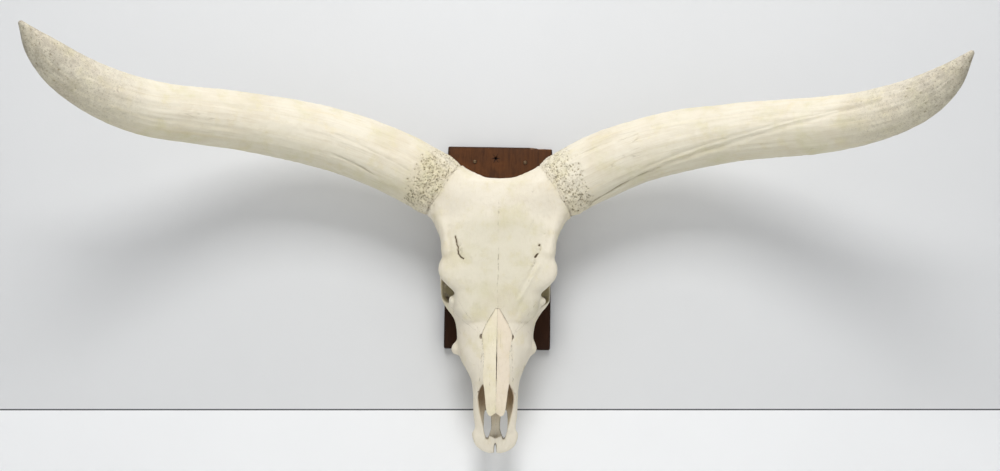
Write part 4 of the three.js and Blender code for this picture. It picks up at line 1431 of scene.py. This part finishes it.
def pit_tree():
    """Sinks drawn-out pits of mixed sizes into a surface, thickest where its pitted attribute is high."""
    sizes = ("Density", "Pit Width", "Pit Depth", "Pit Length", "Rim Height")
    sockets = dict.fromkeys(sizes, "NodeSocketFloat")
    sockets.update({"Seed": "NodeSocketInt", "Material": "NodeSocketMaterial"})
    tree = Shape("bone_pits", sockets)
    given, math_of, pitted = tree.given.outputs, tree.math, tree.attribute("pitted")
    density = math_of("MULTIPLY", given["Density"], pitted)
    spread = {"Mesh": given["Geometry"], "Density": density, "Seed": given["Seed"]}
    points = tree.node("GeometryNodeDistributePointsOnFaces", spread).outputs["Points"]
    copies = {"Geometry": points, "Amount": PIT_BEADS}
    beads = tree.node("GeometryNodeDuplicateElements", copies, domain="POINT").outputs
    number = tree.node("GeometryNodeInputIndex").outputs[0]
    pit = math_of("FLOOR", math_of("DIVIDE", number, PIT_BEADS))
    draw = {0: (-1.0, -1.0, -1.0), "ID": pit, "Seed": given["Seed"]}
    heading = tree.node("FunctionNodeRandomValue", draw, data_type="FLOAT_VECTOR").outputs[0]
    reach = math_of("MULTIPLY", beads["Duplicate Index"], math_of("DIVIDE", given["Pit Length"], PIT_BEADS))
    row = {"Geometry": beads["Geometry"], "Offset": tree.scale(heading, reach)}
    row = tree.node("GeometryNodeSetPosition", row).outputs["Geometry"]
    nearest = tree.node("GeometryNodeSampleNearest", {"Geometry": row}, domain="POINT").outputs["Index"]
    away = tree.node("GeometryNodeProximity", {0: row}, target_element="POINTS").outputs["Distance"]
    pit = math_of("FLOOR", math_of("DIVIDE", nearest, PIT_BEADS))
    draw = {2: PIT_LEAST, 3: 1.0, "ID": pit, "Seed": given["Seed"]}
    chance = tree.node("FunctionNodeRandomValue", draw, data_type="FLOAT").outputs[1]
    size = math_of("MULTIPLY", chance, chance)
    width = math_of("MULTIPLY", given["Pit Width"], size)
    fall = tree.range(away, 0.0, math_of("ADD", width, PIT_SLOPE), 1.0, 0.0)
    depth = math_of("MULTIPLY", math_of("MULTIPLY", given["Pit Depth"], size), fall)
    swell = math_of("ADD", math_of("MULTIPLY", width, 2.0), RIM_SLOPE)
    outside = math_of("MULTIPLY", tree.range(away, 0.0, swell, 1.0, 0.0), math_of("SUBTRACT", 1.0, fall))
    rim = math_of("MULTIPLY", math_of("MULTIPLY", outside, pitted), given["Rim Height"])
    normal = tree.node("GeometryNodeInputNormal").outputs[0]
    # Painted shade in the pits: the deeper a pit, the darker its floor is painted.
    recess_shade = math_of("MULTIPLY", math_of("DIVIDE", depth, given["Pit Depth"]), PIT_SHADE_SHARE)
    darker = math_of("MAXIMUM", tree.attribute("hollow"), recess_shade)
    keep = {"Geometry": given["Geometry"], "Name": "hollow", "Value": darker}
    keep = tree.node("GeometryNodeStoreNamedAttribute", keep, data_type="FLOAT").outputs["Geometry"]
    move = {"Geometry": keep, "Offset": tree.scale(normal, math_of("SUBTRACT", rim, depth))}
    return tree.finish(tree.node("GeometryNodeSetPosition", move).outputs["Geometry"])


def screw_tree():
    """Sets one turned screw on every point of its geometry."""
    tree = Shape("screw_row", {"Screw": "NodeSocketObject", "Material": "NodeSocketMaterial"})
    given = tree.given.outputs
    screw = tree.node("GeometryNodeObjectInfo", {"Object": given["Screw"]}).outputs["Geometry"]
    points = tree.node("GeometryNodeMeshToPoints", {"Mesh": given["Geometry"]}).outputs[0]
    row = tree.node("GeometryNodeInstanceOnPoints", {"Points": points, "Instance": screw})
    return tree.finish(row.outputs["Instances"])


# ---------------------------------------------------------------- operators


class SKULL_OT_bones(bpy.types.Operator):
    """Cranium, upper jaws and incisive bones, parted along their seams"""

    bl_idname = "longhorn.bones"
    bl_label = "Skull Bones"

    def execute(self, context):
        settings = context.scene.longhorn_skull
        step = settings.step / MM
        relief = settings.relief / MM

        def field(p):
            return skull_field(p, relief, settings.seam_depth)

        whole, origin = coarse_to_fine(field, *SKULL_BOX, step)
        material = bone_look("bleached_bone", settings, settings.bone, settings.aged)
        paired = [f"{kind}_{side}" for kind in ("cheek_arch", "maxilla", "incisive") for side, _ in SIDES]
        for name in ["frontal", "braincase", *paired]:
            part = part_of(name)
            parted, _ = coarse_to_fine(part, *SKULL_BOX, step)
            place, faces = largest_island(*net_surface(np.maximum(whole, parted), origin, step))
            place = sharpen(place, field, part, step)
            obj = mesh_object(name + "_bone", place, faces, bone_masks(place, faces, field, part))
            finish_piece(obj, material, "bone", name)
        return {"FINISHED"}


def bone_masks(place, faces, field, part):
    """Masks that dress a bone surface: painted shade and stain in hollows, seams, painted shade in the nose,
    the orbits and on the middle of the forehead, pitted bone and teeth.
    """
    normal = vertex_normals(place, faces)
    # Painted shade, with some stain, in hollows: the less open space round a point, the darker it is painted.
    hollow = np.zeros(len(place))
    for reach, share in ((5.0, 0.3), (13.0, 0.35), (30.0, 0.35)):
        open_space = np.clip(field(place + normal * reach) / reach, 0, 1)
        hollow += share * (1 - open_space)
    # Painted shade on the walls of the nasal cavity, fading out towards its lower end.
    cavity = np.clip(1 - stacked(CAVITY, (CAVITY_POWER, CAVITY_POWER))[0](place) / 2.5, 0, 1)
    cavity *= np.clip((place[:, 2] + 398) / 70, 0, 1)
    # Painted shade on the walls of the orbits.
    socket = np.zeros(len(place))
    for side in (-1, 1):
        socket = np.maximum(socket, np.clip(1 - egg("orbit", side)[0](place) / 3.0, 0, 1))
    # The brow slits are painted dark as shade.
    slit = np.clip(drawn_lines(place, BROW_SLITS, 0.8) / 3.2, 0, 1)
    edge = 0.07 * np.exp(-((part(place) / 0.9) ** 2))
    near_slit = drawn_lines(place, [(5.0, 1.0, sides, bends) for _, _, sides, bends in BROW_BEADS], 0)
    seat = np.minimum(*(horn_seat(name, side)[0](place) for name, side in SIDES))
    collar = np.clip(1 - seat / (7 + 5 * noise(place, 11.0, 9)), 0, 1)
    stains = np.zeros(len(place))
    for x, z, radius in STAINS:
        spot = np.exp(-((np.hypot(place[:, 0] - x, place[:, 2] - z) / radius) ** 2))
        stains += 0.7 * spot * np.clip(0.3 + noise(place, 3.0, 10), 0, 1) * (place[:, 1] < -140)
    # Painted shade on the middle of the forehead.
    brow = np.clip((58 - place[:, 2]) / 40, 0, 1) * np.clip((place[:, 2] + 175) / 30, 0, 1)
    dull = brow * np.exp(-((place[:, 0] / 92) ** 4)) * np.clip((-130 - place[:, 1]) / 20, 0, 1)
    tooth = np.clip((place[:, 1] + 43) / 5, 0, 1) * (np.abs(place[:, 0]) > 33) * (place[:, 2] < -128)
    return {
        "hollow": np.clip(np.maximum(hollow, slit), 0, 1),
        "seam": np.clip(drawn_lines(place, SEAMS, 1.0) + edge + stains, 0, 1),
        "inner": cavity,
        "socket": socket,
        "pitted": np.clip(np.maximum(near_slit * 0.5, collar * 0.9), 0, 1),
        "tooth": tooth,
        "dull": dull,
    }


class SKULL_OT_nasals(bpy.types.Operator):
    """The two nasal bones that roof the nose"""

    bl_idname = "longhorn.nasals"
    bl_label = "Nasal Bones"

    def execute(self, context):
        settings = context.scene.longhorn_skull
        step = NASAL_STEP
        for name, side in SIDES:
            # Painted light: this side's nasal bone is lighter by its own share.
            base = tinted(settings.bone, NASAL_PAINTED_LIGHT[side])
            material = bone_look(f"nasal_bone_{name}", settings, base, settings.aged)

            def roof(p, side=side):
                rough = 0.4 * noise(p, 16.0, 21) + 0.2 * noise(p, 5.0, 22)
                rough += 0.3 * noise(p * [1, 1, 0.15], 3.0, 24)
                return nasal_roof(p, side) + 0.1 + rough + drawn_lines(p, NASAL_LINES, 0.5)

            def edge(p, side=side):
                return nasal_edge(p, side) + 0.25 * noise(p, 6.0, 23) * (p[:, 2] < -205)

            def field(p):
                return np.maximum(roof(p), edge(p))

            (inner, *low), (outer, *high) = NASAL_BOX
            across = sorted((side * inner, side * outer))
            values, origin = coarse_to_fine(field, (across[0], *low), (across[1], *high), step)
            place, faces = largest_island(*net_surface(values, origin, step))
            place = sharpen(place, roof, edge, step)
            # Painted shade on the nasal bones' under sides, which face into the nose.
            under = np.clip((place[:, 1] - track(NASAL, 0, 2)(place[:, 2]) - 7) / 3, 0, 1)
            lines = 1.6 * drawn_lines(place, NASAL_LINES, 0.5) + 0.1 * np.exp(-((edge(place) / 0.7) ** 2))
            masks = {"hollow": under * 0.6, "inner": under, "seam": np.clip(lines, 0, 1)}
            masks.update({key: np.zeros(len(place)) for key in ("tooth", "socket", "pitted", "dull")})
            obj = mesh_object(f"nasal_{name}_bone", place, faces, masks)
            finish_piece(obj, material, "bone", f"nasal_{name}")
        return {"FINISHED"}


def horn_path(rows, side, rings):
    """Centres, directions, half widths and runs of a horn core's rings."""
    count = len(rows) - 1
    dense = np.linspace(0, count, 2000)
    mirror = np.array([side, 1, 1])
    points = [row[:3] for row in rows]
    steps = np.linalg.norm(np.diff(spline(points, dense) * mirror, axis=0), axis=1)
    run = np.concatenate([[0], np.cumsum(steps)])
    share = np.interp(np.linspace(0, 1, rings), RING_SHARE, RING_PLACE)
    spaced = np.interp(share * run[-1], run, dense)
    centre = spline(points, spaced) * mirror
    tangent = np.gradient(centre, axis=0)
    tangent /= np.linalg.norm(tangent, axis=1)[:, None]
    deep = np.array([0.0, 1.0, 0.0]) - tangent[:, 1:2] * tangent
    deep /= np.linalg.norm(deep, axis=1)[:, None]
    index = [(k, row[3], row[4]) for k, row in enumerate(rows)]
    halves = [track(index, 0, key)(spaced) for key in (1, 2)]
    return centre, tangent, (np.cross(tangent, deep), deep), halves, np.interp(spaced, dense, run)


def furrow_cuts(side, fibre, along, angles, seed):
    """Depth of the long furrows at points of a horn core."""
    cut = np.zeros(len(along))
    for half_width, sunk, bends in HORN_FURROWS[side]:
        at = np.interp(along, [b[0] for b in bends], [math.radians(b[1]) for b in bends])
        ends = np.clip((along - bends[0][0]) / 14, 0, 1) * np.clip((bends[-1][0] - along) / 14, 0, 1)
        apart = np.abs((angles - at + math.pi) % (2 * math.pi) - math.pi) * HORN_GIRTH
        apart += 1.2 * noise(fibre * [0, 0, 1], 14.0, seed)
        cut = np.maximum(cut, ends * np.exp(-((apart / half_width) ** 2)) * sunk)
    return cut


def horn_surface(rows, side, rings, around, seed):
    """Rings of a horn core with long furrows, and the masks that dress it."""
    centre, tangent, (wide, deep), (reach, depth), spot = horn_path(rows, side, rings)
    angle = np.arange(around) * 2 * math.pi / around
    c, s = np.cos(angle), np.sin(angle)
    fibre = np.stack(np.broadcast_arrays(c * HORN_GIRTH, s * HORN_GIRTH, spot[:, None]), -1).reshape(-1, 3)
    stretched = fibre * np.array([1, 1, 0.1])
    furrow = 0.95 * noise(stretched, 7.0, seed) + 0.75 * noise(stretched * [1, 1, 0.6], 17.0, seed + 1)
    lumps = 1.5 * noise(fibre * [1, 1, 0.45], 42.0, seed + 2) + 0.5 * noise(fibre, 9.0, seed + 3)
    along = np.repeat(spot, around)
    to_tip = (spot[-1] - along) / spot[-1]
    collar = np.clip(1 - np.abs(along - 22) / 30, 0, 1)
    rough = noise(fibre, 5.5, seed + 4) + 0.8 * noise(fibre, 11.0, seed + 5)
    height = (furrow + lumps) * np.clip(along / 20, 0, 1) * np.clip(to_tip * 7, 0.15, 1)
    height = height + rough * collar * 1.5
    cut = furrow_cuts(side, fibre, along, np.tile(angle, rings), seed + 6)
    height = height - cut - 1.1 * along * np.exp(-along / 6.5)
    ring = centre[:, None] + wide[:, None] * (reach[:, None] * c)[..., None]
    ring = ring + deep[:, None] * (depth[:, None] * s)[..., None]
    outward = (wide[:, None] * c[None, :, None] + deep[:, None] * s[None, :, None]).reshape(-1, 3)
    surface = ring.reshape(-1, 3) + outward * (height - 0.9)[:, None]
    edge = 66 + 14 * noise(fibre, 24.0, seed + 7)
    patchy = np.clip(0.95 + 0.5 * noise(fibre, 16.0, seed + 8), 0.35, 1)
    pitted = np.clip((edge - along) / 16, 0, 1) * patchy * np.clip(0.25 + along / 16, 0, 1)
    pitted = pitted + 0.05 * np.clip(1 - to_tip / 0.28, 0, 1)
    # Painted shade in the furrows: deeper furrows and the low parts of the fine grooves are painted darker.
    grooved = np.clip(-furrow * 0.2 - 0.1, 0, 0.4) + cut * np.interp(along, (150, 240), (0.3, 0.04))
    surface += np.repeat(tangent, around, axis=0) * (collar_wave(surface) * np.exp(-along / 9))[:, None]
    place = np.vstack([surface, centre[0], centre[-1] + tangent[-1] * 3])
    masks = {key: np.zeros(len(place)) for key in ("seam", "tooth", "inner", "socket")}
    masks["fibre"] = np.vstack([fibre, fibre[0], fibre[-1]]) * MM
    masks["tip"] = np.append(np.clip(1 - to_tip / 0.31, 0, 1) ** 0.7, [0, 1])
    masks["pitted"] = np.append(np.clip(pitted, 0, 1), [0, 0])
    masks["hollow"] = np.append(np.clip(grooved, 0, 0.85), [0, 0])
    # Painted shade on the horn cores' undersides.
    under = np.clip(-1.2 * outward[:, 2], 0, 1) * np.clip(along / 90, 0, 1)
    masks["dull"] = np.append(under, [0, 0])
    grid = np.arange(rings * around).reshape(rings, around)
    beside = np.roll(grid, -1, axis=1)
    quads = np.stack([grid[:-1], beside[:-1], beside[1:], grid[1:]], -1).reshape(-1, 4)
    caps = (len(surface), grid[0]), (len(surface) + 1, grid[-1])
    return place, quads, caps, masks


class SKULL_OT_horns(bpy.types.Operator):
    """Bare horn cores with pitted collars, furrows and worn tips"""

    bl_idname = "longhorn.horns"
    bl_label = "Horn Cores"

    def execute(self, context):
        settings, skull = context.scene.longhorn_horn, context.scene.longhorn_skull
        material = bone_look("horn_core_bone", skull, settings.core, skull.aged, True, settings.tip)
        tree = pit_tree()
        rings, around = HORN_RINGS
        sizes = {"Density": settings.pits, "Pit Width": settings.pit_width, "Pit Depth": settings.pit_depth}
        sizes.update({"Pit Length": settings.pit_length, "Rim Height": settings.rim, "Material": material})
        for number, (name, side) in enumerate(SIDES):
            seed = HORN_SEED + HORN_SEED_STEP * number
            place, quads, caps, masks = horn_surface(HORN_CORE[name], side, rings, around, seed)
            obj = mesh_object(f"horn_core_{name}_bone", place, quads, masks)
            close_ends(obj, *caps)
            apply_nodes(obj, tree, {**sizes, "Seed": settings.seed + number})
            finish_piece(obj, material, "horn_core", f"horn_core_{name}")
        return {"FINISHED"}


def close_ends(obj, *caps):
    """Closes both ends of a ringed surface with fans and turns all faces outward."""
    work = bmesh.new()
    work.from_mesh(obj.data)
    work.verts.ensure_lookup_table()
    for hub, ring in caps:
        for a, b in zip(ring, np.roll(ring, -1)):
            work.faces.new((work.verts[hub], work.verts[int(a)], work.verts[int(b)])).smooth = True
    bmesh.ops.recalc_face_normals(work, faces=work.faces)
    work.to_mesh(obj.data)
    work.free()


class SKULL_OT_board(bpy.types.Operator):
    """Worn wooden board with a chipped corner and a nail hole"""

    bl_idname = "longhorn.board"
    bl_label = "Board"

    def execute(self, context):
        settings = context.scene.longhorn_board
        step = settings.step / MM
        half = np.array(BOARD_SIZE) / 2
        centre = np.array([0, -half[1], 0])
        chip_x, chip_z, chip_half, chip_depth = BOARD_CHIP

        def field(p):
            away = np.abs(p - centre) - (half - BOARD_EDGE)
            solid = np.linalg.norm(np.maximum(away, 0), axis=1) + np.minimum(away.max(axis=1), 0) - BOARD_EDGE
            wear = 0.25 + 0.35 * noise(p, 22.0, 51) + 0.2 * noise(p, 7.0, 52)
            edges = np.clip(1 - np.sort(np.abs(away), axis=1)[:, 1] / 6, 0, 1)
            solid = solid + np.clip(wear, 0, 1) * edges * (p[:, 1] < -3)
            dip = chip_z - chip_depth * np.clip(1.2 - ((p[:, 0] - chip_x) / chip_half) ** 2, 0, 1)
            solid = np.maximum(solid, p[:, 2] - dip - 0.5 * noise(p, 4.0, 53))
            nail = np.hypot(p[:, 0] - NAIL[0], p[:, 2] - NAIL[1]) - NAIL[2]
            solid = np.maximum(solid, -np.maximum(nail, p[:, 1] - HOLE_END))
            for side in (-1, 1):
                shank = np.hypot(p[:, 0] - side * SCREW[0], p[:, 2] - SCREW[1]) - SCREW_HOLE
                solid = np.maximum(solid, -np.maximum(shank, p[:, 1] - HOLE_END))
            return solid

        values, origin = coarse_to_fine(field, centre - half - 2 * step, centre + half + 2 * step, step)
        place, faces = largest_island(*net_surface(values, origin, step))
        place[:, 1] = np.minimum(place[:, 1], 0)
        x, z = place[:, 0] - NAIL[0], place[:, 2] - NAIL[1]
        radius, turn = np.hypot(x, z), np.arctan2(z, x)
        round_hole, ray, rays = NAIL_STAR
        star = np.clip(1 - radius / (round_hole + ray * np.clip(np.sin(turn * rays + 1), 0, 1) ** 3), 0, 1)
        rim = half[[0, 2]] - np.abs(place[:, [0, 2]])
        edge = np.clip(1 - rim.min(axis=1) / 7, 0, 1)
        chipped = (np.abs(place[:, 0] - chip_x + 4) < chip_half) & (place[:, 2] > BOARD_WORN)
        worn = chipped * np.clip(0.5 + noise(place, 6.0, 54), 0, 0.8)
        masks = {"edge": edge, "worn": worn, "knot": np.clip(star * 2.5, 0, 1)}
        # Painted shadow: darker towards the bottom of the board, below the skull.
        masks["shade"] = np.clip((40 - place[:, 2]) / 160 + 0.2 * noise(place, 50.0, 55), 0, 0.8)
        obj = mesh_object("mount_board", place, faces, masks)
        finish_piece(obj, wood_look(settings), "wood", "board")
        return {"FINISHED"}


class SKULL_OT_screws(bpy.types.Operator):
    """Two round-headed screws near the board's top"""

    bl_idname = "longhorn.screws"
    bl_label = "Screws"

    def execute(self, context):
        around, (slot_half, slot_deep) = SCREW_SIDES, SCREW_SLOT
        place, faces = [], []
        for radius, height in SCREW_PROFILE:
            for k in range(around):
                turn = 2 * math.pi * k / around
                slot = slot_deep if abs(math.sin(turn)) * radius < slot_half and height > 1 else 0.0
                place.append((radius * math.cos(turn), SCREW_SEAT - height + slot, radius * math.sin(turn)))
        for ring in range(len(SCREW_PROFILE) - 1):
            for k in range(around):
                a, b = ring * around + k, ring * around + (k + 1) % around
                faces.append((a, a + around, b + around, b))
        screw = mesh_object("screw_shape", np.array(place), np.array(faces))
        clean_shape(screw)
        spots = np.array([(side * SCREW[0], 0, SCREW[1]) for side in (-1, 1, 1)])
        seats = mesh_object("screw_pair", spots, np.array([(0, 1, 2)]))
        clean_shape(seats)
        material = steel_look()
        apply_nodes(seats, screw_tree(), {"Screw": screw, "Material": material})
        bpy.data.objects.remove(screw)
        finish_piece(seats, material, "steel", "screw_left", "screw_right")
        return {"FINISHED"}


def clean_shape(obj):
    """Merges doubled points and turns the faces outward."""
    work = bmesh.new()
    work.from_mesh(obj.data)
    bmesh.ops.remove_doubles(work, verts=work.verts, dist=1e-5)
    bmesh.ops.recalc_face_normals(work, faces=work.faces)
    work.to_mesh(obj.data)
    work.free()


class SKULL_OT_stage(bpy.types.Operator):
    """Camera, lights, wall and floor"""

    bl_idname = "longhorn.stage"
    bl_label = "Stage"

    def execute(self, context):
        settings, scene = context.scene.longhorn_stage, context.scene
        data = bpy.data.cameras.new("camera")
        data.lens, data.sensor_width, data.clip_end = settings.lens, 36.0, 60.0
        camera = bpy.data.objects.new("camera", data)
        camera.location = settings.camera
        camera.rotation_mode = "QUATERNION"
        level = Vector((0, math.cos(settings.rise), math.sin(settings.rise))).to_track_quat("-Z", "Y")
        camera.rotation_quaternion = level @ Quaternion((0, 0, 1), settings.roll)
        scene.collection.objects.link(camera)
        scene.camera = camera
        for name, place, aim, size, source, share in LIGHTS:
            add_light(scene, name, place, aim, size, getattr(settings, source) * share)
        add_wall(settings)
        world = bpy.data.worlds.new("studio")
        world.use_nodes = True
        background = world.node_tree.nodes["Background"]
        background.inputs["Color"].default_value = WORLD_COLOUR
        background.inputs["Strength"].default_value = WORLD_STRENGTH
        scene.world = world
        scene.view_settings.view_transform = "Standard"
        scene.view_settings.exposure = 0.0
        return {"FINISHED"}


def add_light(scene, name, place, aim, size, power):
    """Square area light turned to a point."""
    data = bpy.data.lights.new(name, "AREA")
    data.size, data.energy = size, power
    obj = bpy.data.objects.new(name, data)
    obj.location = place
    obj.rotation_euler = (Vector(aim) - Vector(place)).to_track_quat("-Z", "Y").to_euler()
    scene.collection.objects.link(obj)


def wall_look(name, tone):
    """Pale paint that only shows from its front and throws no shadow."""
    look = Look(name)
    cloud = look.range(look.noise(1.2, 4.0, 0.5), 0.35, 0.7)
    colour = look.mix(cloud, tuple(tone), tuple(c * 0.97 for c in tone))
    rear = look.node("ShaderNodeNewGeometry").outputs["Backfacing"]
    shadow = look.node("ShaderNodeLightPath").outputs["Is Shadow Ray"]
    clear = look.node("ShaderNodeBsdfTransparent").outputs[0]
    sheet = {0: look.math("MAXIMUM", rear, shadow), 1: look.shader.outputs[0], 2: clear}
    look.feed(look.output.inputs["Surface"], look.node("ShaderNodeMixShader", sheet).outputs[0])
    normal = look.bump(look.noise(300.0, 3.0), 0.0004, 0.3)
    return look.dress(Base_Color=colour, Roughness=0.85, Normal=normal)


def upright(low, high):
    """Corners of a sheet just behind the board, given by the heights of its edges' ends."""
    left, right = -WALL_REACH, WALL_REACH
    return [(left, WALL, low[0]), (right, WALL, low[1]), (right, WALL, high[1]), (left, WALL, high[0])]


def add_wall(settings):
    """Pale floor, a pale wall and the paler band at its foot."""
    run = WALL_REACH * math.tan(settings.roll)
    middle = settings.skirting / MM
    under, over = ((height - run, height + run) for height in (middle, middle + LINE_HEIGHT))
    corners = ((-1, FLOOR_NEAR), (1, FLOOR_NEAR), (1, FLOOR_FAR), (-1, FLOOR_FAR))
    floor = [(side * FLOOR_REACH, y, FLOOR_LEVEL) for side, y in corners]
    sheets = (
        ("stage_wall", upright(over, (WALL_TOP, WALL_TOP)), wall_look("pale_wall", settings.wall)),
        ("stage_line", upright(under, over), wall_look("grey_line", settings.line)),
        ("stage_band", upright((FLOOR_LEVEL, FLOOR_LEVEL), under), wall_look("pale_band", settings.band)),
        ("stage_floor", floor, floor_look(settings.floor)),
    )
    for name, places, material in sheets:
        obj = mesh_object(name, np.array(places, float), np.array([(0, 1, 2, 3)]))
        obj.data.materials.append(material)


def floor_look(tone):
    """Plain pale floor."""
    look = Look("pale_floor")
    cloud = look.range(look.noise(2.0, 3.0), 0.3, 0.7)
    return look.dress(Base_Color=look.mix(cloud, tuple(tone), tuple(c * 0.95 for c in tone)), Roughness=0.8)


class SKULL_PT_panel(bpy.types.Panel):
    """Skull settings and build buttons"""

    bl_label = "Longhorn Skull"
    bl_idname = "SKULL_PT_panel"
    bl_space_type = "VIEW_3D"
    bl_region_type = "UI"
    bl_category = "Skull"

    def draw(self, context):
        for operator, group in STEPS:
            box = self.layout.box()
            box.operator(operator.bl_idname)
            if group:
                settings = getattr(context.scene, group)
                for key in settings.bl_rna.properties.keys():
                    if key not in ("rna_type", "name"):
                        box.prop(settings, key)


STEPS = (
    (SKULL_OT_stage, "longhorn_stage"),
    (SKULL_OT_bones, "longhorn_skull"),
    (SKULL_OT_nasals, None),
    (SKULL_OT_horns, "longhorn_horn"),
    (SKULL_OT_board, "longhorn_board"),
    (SKULL_OT_screws, None),
)
GROUPS = {
    "longhorn_skull": SkullSettings,
    "longhorn_horn": HornSettings,
    "longhorn_board": BoardSettings,
    "longhorn_stage": StageSettings,
}


def register():
    for name, group in GROUPS.items():
        bpy.utils.register_class(group)
        setattr(bpy.types.Scene, name, PointerProperty(type=group))
    for operator, _ in STEPS:
        bpy.utils.register_class(operator)
    bpy.utils.register_class(SKULL_PT_panel)


def unregister():
    bpy.utils.unregister_class(SKULL_PT_panel)
    for operator, _ in reversed(STEPS):
        bpy.utils.unregister_class(operator)
    for name, group in GROUPS.items():
        delattr(bpy.types.Scene, name)
        bpy.utils.unregister_class(group)


def main():
    """Builds every piece in order."""
    register()
    for operator, _ in STEPS:
        family, name = operator.bl_idname.split(".")
        getattr(getattr(bpy.ops, family), name)()


if __name__ == "__main__":
    main()
